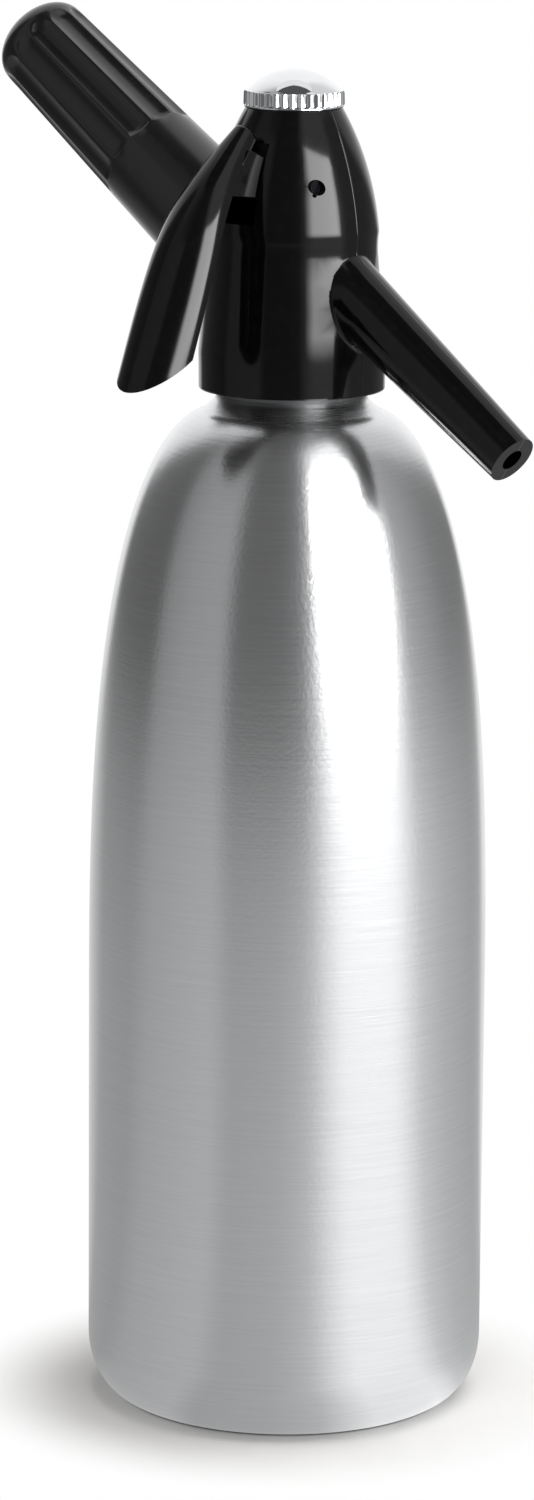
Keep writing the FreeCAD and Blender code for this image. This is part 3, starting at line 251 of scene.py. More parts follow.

# %% [markdown]
# ## The metals, the rubber and the white plastic inside
# Chrome on the cap is a mirror with tiny waves from polishing. The valve parts are turned brass with rings
# from the lathe tool. The valve body and the lever's pin are coloured near black as painted shade, so that
# the slot and the pin hole they show through stay dark. Stem, springs and the piercing pin are drawn steel
# with marks along the wire, and the charger is zinc-plated steel with a faint crystal pattern. Seals are
# moulded rubber, and tubes and guide are white acetal, which is a little waxy. Each one is a base colour
# with noise at the size of its real marks.

# %% Materials of the smaller pieces
def marked(name, colour, second, metallic, roughness, spread, size_mm, depth_mm, stretch=(1, 1, 1)):
    """A material whose colour, roughness and surface follow one noise with marks of a size in mm."""
    material, tree, shader, place = new_material(name, colour, metallic, roughness)
    scaled = add_node(tree, "ShaderNodeMapping", {"Vector": place, "Scale": stretch})
    marks = add_node(tree, "ShaderNodeTexNoise", {"Vector": scaled.outputs["Vector"],
                                                  "Scale": 1000 / size_mm, "Detail": 3.0})
    blend = add_node(tree, "ShaderNodeMix", {0: marks.outputs["Fac"], 6: linear(colour), 7: linear(second)},
                     data_type="RGBA")
    tree.links.new(blend.outputs[2], shader.inputs["Base Color"])
    rough = add_node(tree, "ShaderNodeMapRange", {"Value": marks.outputs["Fac"], "From Min": 0.3,
                                                  "From Max": 0.7, "To Min": max(roughness - spread, 0.02),
                                                  "To Max": roughness + spread})
    tree.links.new(rough.outputs[0], shader.inputs["Roughness"])
    surface = add_node(tree, "ShaderNodeBump", {"Height": marks.outputs["Fac"], "Strength": 0.4,
                                                "Distance": depth_mm / 1000})
    tree.links.new(surface.outputs[0], shader.inputs["Normal"])
    return material


# Painted shade: the valve body is coloured near black so that the slot it shows through stays dark.
slot_shade_black = marked("casting_black_as_slot_shade", "#0C0C0C", "#171717", 0.0, 0.5, 0.12, 0.7, 0.04)
# Painted shade: the lever's pin, sunk in its hole, is coloured dark steel so that the hole reads dark.
pin_hole_shade_steel = marked("steel_darkened_as_hole_shade", "#26272A", "#34353A", 1.0, 0.3, 0.08, 0.5, 0.02)
chrome = marked("polished_chrome", "#DADCDE", "#E4E6E8", 1.0, 0.045, 0.02, 6.0, 0.02)
brass = marked("turned_brass", "#B08D4C", "#C8A765", 1.0, 0.28, 0.08, 0.8, 0.03, (0.05, 0.05, 1))
steel = marked("drawn_steel", "#B9BABC", "#CDCED0", 1.0, 0.25, 0.08, 0.5, 0.02)
zinc = marked("zinc_plated_steel", "#B4B7BA", "#C9CCCF", 1.0, 0.33, 0.1, 2.5, 0.02)
rubber = marked("moulded_rubber", "#141414", "#1E1E1D", 0.0, 0.7, 0.1, 0.4, 0.03)
acetal = marked("white_acetal", "#E4E3DE", "#EDECE8", 0.0, 0.45, 0.06, 1.5, 0.01)
print("made", [m.name for m in (slot_shade_black, pin_hole_shade_steel, chrome, brass, steel, zinc, rubber, acetal)])

# %% [markdown]
# ## Dress the solids
# Every solid gets a finish by putting the material in its first slot: the finish of its real piece, except
# the valve body and the lever's pin, whose near-black colour is painted shade. The solids themselves stay
# untouched. A dictionary keeps the list readable: finish first, then the pieces.

# %% Give each solid its material
finishes = {
    aluminium: ["bottle"],
    head_black: ["head_shell"],
    grip_black: ["lever"],
    satin_black: ["charger_holder"],
    chrome: ["top_cap"],
    slot_shade_black: ["valve_body"],
    pin_hole_shade_steel: ["lever_pin"],
    brass: ["stem_nut", "inlet_nozzle", "holder_thread_ring", "check_retainer"],
    steel: ["valve_stem", "piercing_pin", "valve_spring", "spring_seat"],
    zinc: ["gas_charger"],
    rubber: ["tube_seal", "head_gasket", "stem_seal", "valve_washer", "cap_gasket", "nozzle_seal",
             "charger_seal"],
    acetal: ["tube_collar", "dip_tube", "stem_guide", "outlet_tube", "check_plunger"],
}
for finish, names in finishes.items():
    for node_name in names:
        node_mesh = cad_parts[node_name].data
        node_mesh.materials.clear()
        node_mesh.materials.append(finish)
print("dressed", sum(len(names) for names in finishes.values()), "of", len(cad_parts), "solids")

# %% [markdown]
# ## Surfaces from grids of numbers
# Curved pieces could be modelled by hand from a cylinder, or taken from the solids, whose facets would
# show in the reflections. Here each one is a grid of points that a formula gives, joined by quads. Three
# helpers do it: one joins a grid, one turns a profile round an axis, and one puts the result in the scene.

# %% Grid helpers
def grid_faces(rows, columns, around=True):
    """Quads between neighbouring rows. When the grid goes around, the last column joins the first."""
    row = np.arange(rows - 1)[:, None] * columns
    column = np.arange(columns if around else columns - 1)[None, :]
    following = (column + 1) % columns
    corners = [row + column, row + following, row + columns + following, row + columns + column]
    return np.stack(corners, axis=-1).reshape(-1, 4)


def turned_surface(radii, heights, angle=None):
    """Closed surface from radii[row, column] at heights[row]: x = r cos a, y = r sin a, z = height.
    The first and the last row lie on the axis and become one point each. Columns are evenly spread,
    or at the given angles."""
    rows, columns = radii.shape
    if angle is None:
        angle = 2 * np.pi * np.arange(columns) / columns
    x = radii * np.cos(angle)
    y = radii * np.sin(angle)
    z = np.broadcast_to(heights[:, None], radii.shape)
    inner = np.stack([x, y, z], axis=-1)[1:-1].reshape(-1, 3)
    poles = np.array([[0, 0, heights[0]], [0, 0, heights[-1]]])
    low_pole = len(inner)
    column = np.arange(columns)
    following = (column + 1) % columns
    last_row = (rows - 3) * columns
    low_fan = np.stack([following, column, np.full(columns, low_pole)], axis=-1)
    high_fan = np.stack([last_row + column, last_row + following, np.full(columns, low_pole + 1)], axis=-1)
    faces = grid_faces(rows - 2, columns).tolist() + low_fan.tolist() + high_fan.tolist()
    return np.concatenate([inner, poles]), faces


def new_piece(name, points_mm, faces, material, body, sharp_angle=35):
    """Puts a surface in millimetres into the scene as a smooth-shaded piece that rides on a body."""
    mesh = bpy.data.meshes.new(name)
    mesh.from_pydata((np.asarray(points_mm) / 1000).tolist(), [], faces)
    mesh.materials.append(material)
    mesh.shade_smooth()
    mesh.set_sharp_from_angle(angle=math.radians(sharp_angle))
    piece = bpy.data.objects.new(name, mesh)
    bpy.context.scene.collection.objects.link(piece)
    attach(piece, body)
    return piece


test_points, test_faces = turned_surface(np.array([[0.0] * 6, [1.0] * 6, [1.0] * 6, [0.0] * 6]),
                                         np.array([0.0, 0.0, 1.0, 1.0]))
print("a six-sided drum has", len(test_points), "points and", len(test_faces), "faces")

# %% [markdown]
# ## The bottle
# The bottle is drawn from one sheet: a hollow base, a straight body, a long shoulder and a neck. Its shape
# is a profile turned round the axis. The shoulder is the superellipse
# (r / 47.5)^3.29 + (z / 143.6)^2.56 = 1, lowered a little near the neck, and the inside repeats it one wall
# thickness further in. A hollow slope of about 45 degrees leads up to the neck and mirrors the black skirt
# above it as a dark ring.

# %% Bottle surface
BODY_R = 47.5
HOLLOW_RISE = 7.0
RIM_R = 9.5
RIM_TOP = 14.5
SHOULDER_START = 101.6
SHOULDER_HEIGHT = 143.6
R_POWER = 3.29
Z_POWER = 2.56
DIP = 2.0
DIP_R = 34
NECK_R = 16.6
NECK_BORE_R = 13.2
NECK_TOP = 262.5
WALL = 1.4
FLOOR = 2.2
FOOT_R = 17.3
FOOT_TOP = 246.2


def arc_points(start, middle, end, count):
    """Points on the circle through three points: centre from the two perpendicular bisectors."""
    a, b, c = (np.array(p, float) for p in (start, middle, end))
    rows = 2 * np.array([b - a, c - a])
    centre = np.linalg.solve(rows, [b @ b - a @ a, c @ c - a @ a])
    angles = [math.atan2(*(p - centre)[::-1]) for p in (a, b, c)]
    sweep = (angles[2] - angles[0]) % (2 * math.pi)
    if (angles[1] - angles[0]) % (2 * math.pi) > sweep:
        sweep -= 2 * math.pi
    turn = angles[0] + sweep * np.linspace(0, 1, count)
    return centre + np.hypot(*(a - centre)) * np.stack([np.cos(turn), np.sin(turn)], axis=-1)


def bottle_wall(inset, base, foot_r, blend, count):
    """Half profile from the middle of the base to the foot of the neck, moved inwards by an inset. An arc
    makes the hollow, a quarter of an ellipse the rim, the superellipse the shoulder, lowered by up to DIP
    inside the radius DIP_R, and a last arc the slope."""
    hollow = arc_points((0, base + HOLLOW_RISE), (15.6, base + 5.18), (30, base), 24)
    turn = np.linspace(0, np.pi / 2, 24)
    rim = np.stack([BODY_R - RIM_R + (RIM_R - inset) * np.sin(turn),
                    base + (RIM_TOP - base) * (1 - np.cos(turn))], axis=-1)
    last = math.acos(((foot_r + blend + inset / 2) / BODY_R) ** (R_POWER / 2))
    turn = np.linspace(0, 1, count) ** 1.15 * last
    across = np.cos(turn) ** (2 / R_POWER)
    up = np.sin(turn) ** (2 / Z_POWER)
    slope_r = R_POWER / BODY_R * across ** (R_POWER - 1)
    slope_z = Z_POWER / SHOULDER_HEIGHT * up ** (Z_POWER - 1)
    size = np.hypot(slope_r, slope_z)
    shoulder = np.stack([BODY_R * across - inset * slope_r / size,
                         SHOULDER_START + SHOULDER_HEIGHT * up - inset * slope_z / size], axis=-1)
    shoulder[:, 1] -= DIP * np.clip((DIP_R - shoulder[:, 0]) / 14, 0, 1) ** 2.6
    top_r, top_z = shoulder[-1]
    fillet = arc_points((top_r, top_z), (foot_r + blend * 0.46, top_z + blend * 0.44),
                        (foot_r, top_z + blend * 0.99), 10)
    return np.concatenate([hollow, rim, shoulder, fillet[1:]])


outside = bottle_wall(0, 0, FOOT_R, 4.0, 110)
collar = np.array([[FOOT_R, FOOT_TOP - 0.3], [FOOT_R - 0.3, FOOT_TOP], [NECK_R, FOOT_TOP],
                   [NECK_R, NECK_TOP], [NECK_BORE_R, NECK_TOP]])
inside = bottle_wall(WALL, FLOOR, NECK_BORE_R, 1.1, 60)[::-1]
profile = np.concatenate([outside, collar, inside])
radii = np.repeat(profile[:, :1], 256, axis=1)
points, faces = turned_surface(radii, profile[:, 1])
bottle = new_piece("drawn_bottle", points, faces, aluminium, "bottle")
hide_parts("bottle")
print("bottle:", len(points), "points, widest", round(2 * profile[:, 0].max(), 1), "mm")

# %% [markdown]
# ## The thread on the neck
# The head screws onto a rolled thread. A flat-topped tooth is carried along a helix: the point at angle a
# lies at height pitch x a / 2 pi. It only shows when the head is unscrewed, and it starts and ends in a
# short run-out where the tooth sinks into the neck.

# %% Neck thread surface
def thread(core_r, depth, pitch, length, low, steps_per_turn=72):
    """Tooth section (radius, height) carried along a helix: r = section r, z = low + pitch a / 2 pi."""
    turns = length / pitch
    angle = np.linspace(0, 2 * np.pi * turns, int(turns * steps_per_turn))[:, None]
    run_out = np.clip(np.minimum(angle, angle[-1] - angle) / 0.6, 0, 1)
    crest = core_r - 0.2 + (depth + 0.2) * run_out
    foot = np.full_like(crest, core_r - 0.25)
    section_r = np.concatenate([foot, crest, crest, foot], axis=1)
    section_z = np.array([-0.36, -0.1, 0.1, 0.36]) * pitch
    z = low + pitch * angle / (2 * np.pi) + section_z
    ridge = np.stack([section_r * np.cos(angle), section_r * np.sin(angle), z], axis=-1)
    quads = grid_faces(len(angle), 4)
    ends = [[3, 2, 1, 0], [4 * len(angle) - 4 + i for i in range(4)]]
    return ridge.reshape(-1, 3), quads.tolist() + ends


points, faces = thread(NECK_R, 0.75, 2.5, 10.0, 250.0)
faces = [face[::-1] for face in faces]
neck_thread = new_piece("neck_thread", points, faces, aluminium, "bottle")
print("neck thread:", len(points), "points")

# %% [markdown]
# ## The charger holder
# The holder is a tapered tube with a domed end and twelve long flutes for the fingers. A flute is what a
# round cutter of radius 6.4 mm leaves when it sinks 1 mm into the side, so for a point at angle a from the
# flute's middle the radius is c cos a - sqrt(R^2 - c^2 sin^2 a), with c the distance of the cutter's
# centre. The smaller of that and the plain taper is the surface. Columns stand closest at the flutes'
# edges, where a thin line of light runs. The grid is made upright and then leant to the holder's own axis.

# %% Holder surface
LEAN = math.radians(34.3)
AXIS_HEIGHT = 264.9
HOLDER_MOUTH = 32.3
MOUTH_R = 13.7
TIP_R = 11.7
TIP_START = 98.2
TIP_LENGTH = 7.0
FLUTES = 12
FLUTE_START = 54.8
FLUTE_END = 94.2
FLUTE_DEPTH = 1.0
CUTTER_R = 6.4
NO_CUT = 99.0
TAPER = (MOUTH_R - TIP_R) / (TIP_START - HOLDER_MOUTH)


def along_holder(points):
    """Turns points made along Z to the holder's axis, which climbs 34.3 degrees towards -X."""
    angle = LEAN - math.pi / 2
    x, y, z = np.asarray(points).T
    return np.stack([x * math.cos(angle) + z * math.sin(angle), y,
                     -x * math.sin(angle) + z * math.cos(angle) + AXIS_HEIGHT], axis=-1)


half_flute = np.radians([0, 2.4, 4.8, 7.2, 9.4, 11.0, 12.0, 12.6, 13.0, 13.4, 13.8, 14.2, 14.6, 15.0])
flute_turn = 2 * np.pi / FLUTES
flute = np.concatenate([half_flute[:-1], flute_turn - half_flute[:0:-1]])
columns = FLUTES * len(flute)
angle = (np.arange(FLUTES)[:, None] * flute_turn + flute).ravel() + math.radians(13.5)
from_middle = np.tile(np.minimum(flute, flute_turn - flute), FLUTES)
side = np.concatenate([[HOLDER_MOUTH, HOLDER_MOUTH + 0.25], np.linspace(34, 54.6, 12),
                       np.linspace(54.9, 55.5, 5), np.linspace(57, 94, 30),
                       np.linspace(94.6, TIP_START, 14)])
side_r = MOUTH_R - TAPER * (side - HOLDER_MOUTH)
side_r[0] -= 0.25
centre = side_r + CUTTER_R - FLUTE_DEPTH * np.clip((side - FLUTE_START) / 0.6, 0, 1)
cutter = np.sqrt(np.clip(CUTTER_R ** 2 - np.clip(side - FLUTE_END, 0, None) ** 2, 0, None))
reach = cutter[:, None] ** 2 - (centre[:, None] * np.sin(from_middle)) ** 2
grooved = centre[:, None] * np.cos(from_middle) - np.sqrt(np.clip(reach, 0, None))
grooved = np.where((reach > 0) & (side[:, None] > FLUTE_START), grooved, NO_CUT)
plain = np.repeat(side_r[:, None], columns, axis=1)
# A soft minimum of the two radii, s log(1 + exp((plain - grooved) / s)), rounds the flutes' edges.
softness = 0.04
fluted = plain - softness * np.log1p(np.exp(np.clip((plain - grooved) / softness, -40, 40)))
fluted = np.where(grooved == NO_CUT, plain, fluted)
turn = np.linspace(0, np.pi / 2, 26)[1:]
dome = np.stack([TIP_R * np.cos(turn), TIP_START + TIP_LENGTH * np.sin(turn)], axis=-1)
pocket = np.array([[0, 102.9], [5.0, 102.9], [7.6, 101.4], [9.2, 95.9], [9.2, 46.5], [11.9, 46.5],
                   [11.9, HOLDER_MOUTH + 0.3], [12.2, HOLDER_MOUTH]])
radii = np.concatenate([np.repeat(pocket[:, :1], columns, axis=1), fluted,
                        np.repeat(dome[:, :1], columns, axis=1)])
heights = np.concatenate([pocket[:, 1], side, dome[:, 1]])
points, faces = turned_surface(radii, heights, angle)
holder = new_piece("fluted_holder", along_holder(points), faces, satin_black, "holder", 50)
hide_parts("charger_holder")
print("holder:", len(points), "points, flutes", round(float((plain - fluted).max()), 2), "mm deep")

# %% [markdown]
# ## The chromed cap
# The cap is a low dome above a ring of 36 upright teeth, chrome on brass. The teeth are a wave of 0.6 mm in
# the radius of a turned profile, sin(18 a) to the power 1.5. Dome, bevel and knurl are one surface.

# %% Cap surface
TEETH = 36
CAP_R = 11.8
CAP_Z = 310.9
CAP_TOP = 319.8
CAP_SKIRT_R = 8.0
DOME_R = 11.15
DOME_RISE = 4.9
columns = TEETH * 18
tooth = np.abs(np.sin(TEETH * np.pi * np.arange(columns) / columns)) ** 1.5
ball_r = (DOME_R ** 2 + DOME_RISE ** 2) / (2 * DOME_RISE)
fall = np.linspace(math.asin(DOME_R / ball_r), 0, 24)
dome = np.stack([ball_r * np.sin(fall), CAP_TOP - ball_r + ball_r * np.cos(fall)], axis=-1)
lower = np.array([[0, 316.48], [6.9, 316.48], [6.9, 302.6], [CAP_SKIRT_R, 302.5], [CAP_SKIRT_R, CAP_Z],
                  [11.6, CAP_Z], [CAP_R, CAP_Z + 0.1], [CAP_R, CAP_Z + 0.35]])
knurl_z = np.array([CAP_Z + 0.45, CAP_Z + 0.8, CAP_Z + 3.3, CAP_Z + 3.72])
knurl = np.array([CAP_R, 11.82, 11.75, 11.55])[:, None] - np.array([0.2, 0.6, 0.6, 0.25])[:, None] * tooth
edge = np.array([[11.35, CAP_Z + 3.75], [11.25, CAP_Z + 3.85]])
radii = np.concatenate([np.repeat(lower[:, :1], columns, axis=1), knurl,
                        np.repeat(edge[:, :1], columns, axis=1), np.repeat(dome[:, :1], columns, axis=1)])
heights = np.concatenate([lower[:, 1], knurl_z, edge[:, 1], dome[:, 1]])
points, faces = turned_surface(radii, heights)
cap = new_piece("chromed_cap", points, faces, chrome, "cap", 28)
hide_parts("top_cap")
thread_points, thread_faces = thread(CAP_SKIRT_R, 0.5, 1.5, 5.5, 303.25)
cap_thread = new_piece("cap_thread", thread_points, [face[::-1] for face in thread_faces], chrome, "cap")
print("cap:", len(points), "points, dome radius", round(ball_r, 1), "mm")

# %% [markdown]
# ## The lever
# The lever is a thin moulded channel: its back follows a Bezier curve with four guide points, and its
# section is half an ellipse that widens and deepens on the way down. Each rail of the grid runs along the
# lever at one place of the section and stops where it meets the sloping cut at the lower end. At the top
# the section shrinks to 0.58 on a quarter circle, which rounds the tip. A block with a hub joins the
# channel to the pivot, and two short fingers reach round the valve stem.

# %% Lever surface
PIVOT = np.array([-9.3, 293.8])
GUIDES = np.array([[-9.53, 14.06], [-30.9, -2.76], [-31.4, -5.68], [-46.95, -44.46]]) + PIVOT
CUT = math.radians(31.5)
LEVER_WALL = 1.8
TIP_ROUND = 1.3
TIP_SHRINK = 0.42


def blended(first, middle, last, share):
    """Quadratic blend: first (1-s)^2 + 2 middle s (1-s) + last s^2."""
    return first * (1 - share) ** 2 + 2 * middle * share * (1 - share) + last * share ** 2


def lever_point(share, bow, wall, depth_share):
    """Point of the channel at a share of the length and an angle of the half ellipse, for arrays."""
    rest = 1 - share
    weights = np.stack([rest ** 3, 3 * rest ** 2 * share, 3 * rest * share ** 2, share ** 3], axis=-1)
    slopes = np.stack([-3 * rest ** 2, 3 * rest ** 2 - 6 * rest * share, 6 * rest * share - 3 * share ** 2,
                       3 * share ** 2], axis=-1)
    back = weights @ GUIDES
    run = slopes @ GUIDES
    run = run / np.linalg.norm(run, axis=-1, keepdims=True)
    half_width = blended(3.1, 10.4, 9.2, share) - wall
    depth = blended(4.0, 7.6, 8.5, share)
    inward = depth - depth_share * (depth - wall) * np.sin(bow)
    return np.stack([-half_width * np.cos(bow), back[..., 0] - inward * run[..., 1],
                     back[..., 1] + inward * run[..., 0]], axis=-1)


bow = np.linspace(0, np.pi, 40)
rows = np.linspace(0.01, 1, 90)


def lever_rails(wall, depth_share):
    """Rails from the top to the sloping cut; the share at the cut comes from a straight-line search."""
    shares = np.linspace(0.8, 1.1, 60)
    tries = lever_point(shares[:, None] + 0 * bow, 0 * shares[:, None] + bow, wall, 1.0)
    tip = GUIDES[3]
    above_cut = (tries[..., 2] - tip[1]) * math.cos(CUT) - (tries[..., 1] - tip[0]) * math.sin(CUT)
    crossing = np.argmax(above_cut < 0, axis=0)
    column = np.arange(len(bow))
    before = above_cut[crossing - 1, column]
    after = above_cut[crossing, column]
    step = before / (before - after)
    end = shares[crossing - 1] + step * (shares[1] - shares[0])
    share = rows[:, None] * end[None, :]
    return lever_point(share, bow[None, :] + 0 * share, wall, depth_share(share))


outer = lever_rails(0.0, lambda share: np.ones_like(share))
inner = lever_rails(LEVER_WALL, lambda share: np.clip((share - 0.3) / 0.05, 0, 1))
section = np.concatenate([outer, inner[:, ::-1]], axis=1)
middle = section[0].mean(axis=0)
run = section[1].mean(axis=0) - middle
run /= np.linalg.norm(run)
turn = np.linspace(np.pi / 2, 0, 8)[:-1, None, None]
shrink = 1 - TIP_SHRINK * (1 - np.cos(turn))
tip = middle + (section[0] - middle) * shrink - TIP_ROUND * np.sin(turn) * run
section = np.concatenate([tip, section])
columns = section.shape[1]
quads = grid_faces(len(section), columns)
half = len(bow)
index = np.arange(half - 1)
start_cap = np.stack([index + 1, index, columns - 1 - index, columns - 2 - index], axis=-1)
end_cap = start_cap[:, ::-1] + (len(section) - 1) * columns
faces = np.concatenate([quads, start_cap, end_cap])[:, ::-1].tolist()
lever = new_piece("lever_channel", section.reshape(-1, 3), faces, grip_black, "lever", 40)
soften = lever.modifiers.new("moulded_edges", "BEVEL")
soften.width = 0.0004
soften.segments = 2
soften.limit_method = "ANGLE"
soften.angle_limit = math.radians(40)
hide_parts("lever")
print("lever:", len(section.reshape(-1, 3)), "points, from z", round(float(section[..., 2].min()), 1), "to",
      round(float(section[..., 2].max()), 1), "mm")

# %% [markdown]
# The root of the lever is flat-sided, so each part of it is an outline in the side view given a width.
# A small bevel keeps its edges from looking cut with a knife.

# %% Lever root, hub and fork
def plate(outline, low_x, high_x):
    """Outline of (y, z) points, anticlockwise seen from +X, extruded from low_x to high_x."""
    count = len(outline)
    near = np.column_stack([np.full(count, high_x), outline])
    far = np.column_stack([np.full(count, low_x), outline])
    index = np.arange(count)
    following = (index + 1) % count
    sides = np.stack([index, index + count, following + count, following], axis=-1).tolist()
    return np.concatenate([near, far]), sides + [index.tolist(), (index[::-1] + count).tolist()]


def round_end(centre, radius, start, stop, count):
    """Points on an arc of a circle between two angles in degrees."""
    turn = np.radians(np.linspace(start, stop, count))
    return centre + radius * np.stack([np.cos(turn), np.sin(turn)], axis=-1)


root_outline = np.concatenate([[[-20.2, 302.6]], [[-28.6, 292.6]], round_end(PIVOT, 4.0, -90, 90, 20)])
finger_outline = np.concatenate([round_end(PIVOT + [9.0, 0], 1.6, -90, 90, 12),
                                 [[-6.3, 295.4], [-6.3, 292.2]]])
for name, outline, low_x, high_x in (("lever_root", root_outline, -4.7, 4.7),
                                     ("lever_finger_left", finger_outline, -4.7, -2.3),
                                     ("lever_finger_right", finger_outline, 2.3, 4.7)):
    points, faces = plate(outline, low_x, high_x)
    block = new_piece(name, points, faces, grip_black, "lever")
    bevel = block.modifiers.new("moulded_edges", "BEVEL")
    bevel.width = 0.0003
    bevel.segments = 2
print("lever root and two fingers made")

# %% [markdown]
# ## The valve spring
# The spring stands between the nut on the stem and the cap, and here it rides with the stem as one rigid
# piece. The wire's section is carried along a helix: the middle of the wire at angle a is (R cos a, R sin a,
# z0 + pitch a / 2 pi).

# %% Spring surface
SPRING_LOW = 296.75
SPRING_HIGH = 316.483


def wire_coil(radius, wire_r, turns, low, high):
    """Tube along a helix. Its section is a circle of wire_r in the plane through the axis."""
    angle = np.linspace(0, 2 * np.pi * turns, 36 * turns + 1)[:, None]
    section = 2 * np.pi * np.arange(10) / 10
    reach = radius + wire_r * np.cos(section)[None, :]
    z = low + wire_r + (high - low - 2 * wire_r) * angle / (2 * np.pi * turns) + wire_r * np.sin(section)
    tube = np.stack([reach * np.cos(angle), reach * np.sin(angle), z], axis=-1)
    ends = [list(range(10)), [10 * len(angle) - 1 - i for i in range(10)]]
    return tube.reshape(-1, 3), grid_faces(len(angle), 10)[:, ::-1].tolist() + ends


points, faces = wire_coil(4.6, 0.4, 7, SPRING_LOW, SPRING_HIGH)
spring = new_piece("coiled_spring", points, faces, steel, "stem", 60)
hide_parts("valve_spring")
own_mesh(spring)

# %% [markdown]
# ## The head
# The head shell is the one piece with spout, slot and boss running into each other, so its measured solid
# is the better start. A copy has its loose triangles welded, then shading is smoothed across every edge
# flatter than 24 degrees, which keeps the slot and the skirt's lower edge crisp.

# %% Smooth copy of the head shell
def smooth_copy(node, name, body, material, angle):
    """Welded, smooth-shaded copy of a solid that stands for it."""
    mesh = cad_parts[node].data.copy()
    mesh.name = name
    copy = bpy.data.objects.new(name, mesh)
    bpy.context.scene.collection.objects.link(copy)
    weld = copy.modifiers.new("weld", "WELD")
    weld.merge_threshold = 0.000002
    with bpy.context.temp_override(object=copy, active_object=copy, selected_objects=[copy]):
        bpy.ops.object.modifier_apply(modifier="weld")
    for attribute in ("custom_normal", "sharp_edge", "sharp_face"):
        layer = copy.data.attributes.get(attribute)
        if layer:
            copy.data.attributes.remove(layer)
    copy.data.shade_smooth()
    copy.data.set_sharp_from_angle(angle=math.radians(angle))
    copy.data.materials.clear()
    copy.data.materials.append(material)
    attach(copy, body)
    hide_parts(node)
    return copy


head = smooth_copy("head_shell", "smooth_head", "head", head_black, 24)
print("head:", len(head.data.vertices), "points,", len(head.data.polygons), "faces")

# %% [markdown]
# ## The studio
# Polished things show the room more than themselves, so the room is laid out like a small picture studio:
# a pale floor, a white surround, one tall soft light to the right of the camera, and grey and black cards
# standing in a ring, which give the metal its dark bands. Cards could be lamps, but a sheet of glowing
# paper that only mirrors can see is easier to place. The lamps that light the siphon are separate, large
# and soft.

# %% Floor and surround
FLOOR_HALF = 6
LIT_R, EVEN_R = 0.050, 0.081


def studio_material(name, colour, strength):
    """Glows by its glow attribute, so that a mirror sees the colour times strength times glow."""
    material = bpy.data.materials.new(name)
    material.use_nodes = True
    tree = material.node_tree
    tree.nodes.clear()
    share = add_node(tree, "ShaderNodeAttribute", attribute_name="glow")
    power = add_node(tree, "ShaderNodeMath", {0: share.outputs["Fac"], 1: strength}, operation="MULTIPLY")
    glow = add_node(tree, "ShaderNodeEmission", {"Color": linear(colour), "Strength": power.outputs[0]})
    add_node(tree, "ShaderNodeOutputMaterial", {"Surface": glow.outputs[0]})
    return material


def floor_material():
    """Matt white board: within LIT_R metres of the axis it is lit and takes the shadow, and by EVEN_R it
    has turned an even white for the camera and for mirrors, as if it curved up into the surround."""
    material = bpy.data.materials.new("matt_white_board")
    material.use_nodes = True
    tree = material.node_tree
    tree.nodes.clear()
    rays = add_node(tree, "ShaderNodeLightPath")
    seen = add_node(tree, "ShaderNodeMath", {0: rays.outputs["Is Camera Ray"],
                                             1: rays.outputs["Is Glossy Ray"]}, operation="MAXIMUM")
    place = add_node(tree, "ShaderNodeTexCoord").outputs["Object"]
    away = add_node(tree, "ShaderNodeVectorMath", {0: place}, operation="LENGTH")
    even = add_node(tree, "ShaderNodeMapRange", {"Value": away.outputs["Value"], "From Min": LIT_R,
                                                 "From Max": EVEN_R, "To Min": 0.0, "To Max": 1.0},
                    interpolation_type="SMOOTHSTEP")
    share = add_node(tree, "ShaderNodeMath", {0: seen.outputs[0], 1: even.outputs[0]}, operation="MULTIPLY")
    grain = add_node(tree, "ShaderNodeTexNoise", {"Scale": 400.0, "Detail": 2.0})
    tone = add_node(tree, "ShaderNodeMix", {0: grain.outputs["Fac"], 6: linear("#F1F0EE"),
                                            7: linear("#F7F6F5")}, data_type="RGBA")
    lit = add_node(tree, "ShaderNodeBsdfDiffuse", {"Color": tone.outputs[2]})
    glow = add_node(tree, "ShaderNodeEmission", {"Color": linear("#FFFFFF"), "Strength": 1.0})
    both = add_node(tree, "ShaderNodeMixShader", {0: share.outputs[0], 1: lit.outputs[0],
                                                  2: glow.outputs[0]})
    add_node(tree, "ShaderNodeOutputMaterial", {"Surface": both.outputs[0]})
    return material


floor_mesh = bpy.data.meshes.new("studio_floor")
floor_corners = [(x * FLOOR_HALF, y * FLOOR_HALF, 0) for x, y in ((-1, -1), (1, -1), (1, 1), (-1, 1))]
floor_mesh.from_pydata(floor_corners, [], [(0, 1, 2, 3)])
floor_mesh.materials.append(floor_material())
floor = bpy.data.objects.new("studio_floor", floor_mesh)
bpy.context.scene.collection.objects.link(floor)

world = bpy.data.worlds.new("white_surround")
bpy.context.scene.world = world
world.use_nodes = True
tree = world.node_tree
tree.nodes.clear()
rays = add_node(tree, "ShaderNodeLightPath")
seen_or_mirrored = add_node(tree, "ShaderNodeMath", {0: rays.outputs["Is Camera Ray"],
                                                     1: rays.outputs["Is Glossy Ray"]}, operation="MAXIMUM")
clear_view = add_node(tree, "ShaderNodeMath", {0: seen_or_mirrored.outputs[0],
                                               1: rays.outputs["Is Transmission Ray"]}, operation="MAXIMUM")
seen_white = add_node(tree, "ShaderNodeBackground", {"Color": linear("#FFFFFF"), "Strength": 1.0})
soft_fill = add_node(tree, "ShaderNodeBackground", {"Color": linear("#FAF9F7"), "Strength": 0.35})
mixed = add_node(tree, "ShaderNodeMixShader", {0: clear_view.outputs[0], 1: soft_fill.outputs[0],
                                               2: seen_white.outputs[0]})
add_node(tree, "ShaderNodeOutputWorld", {"Surface": mixed.outputs[0]})
print("floor and surround ready")

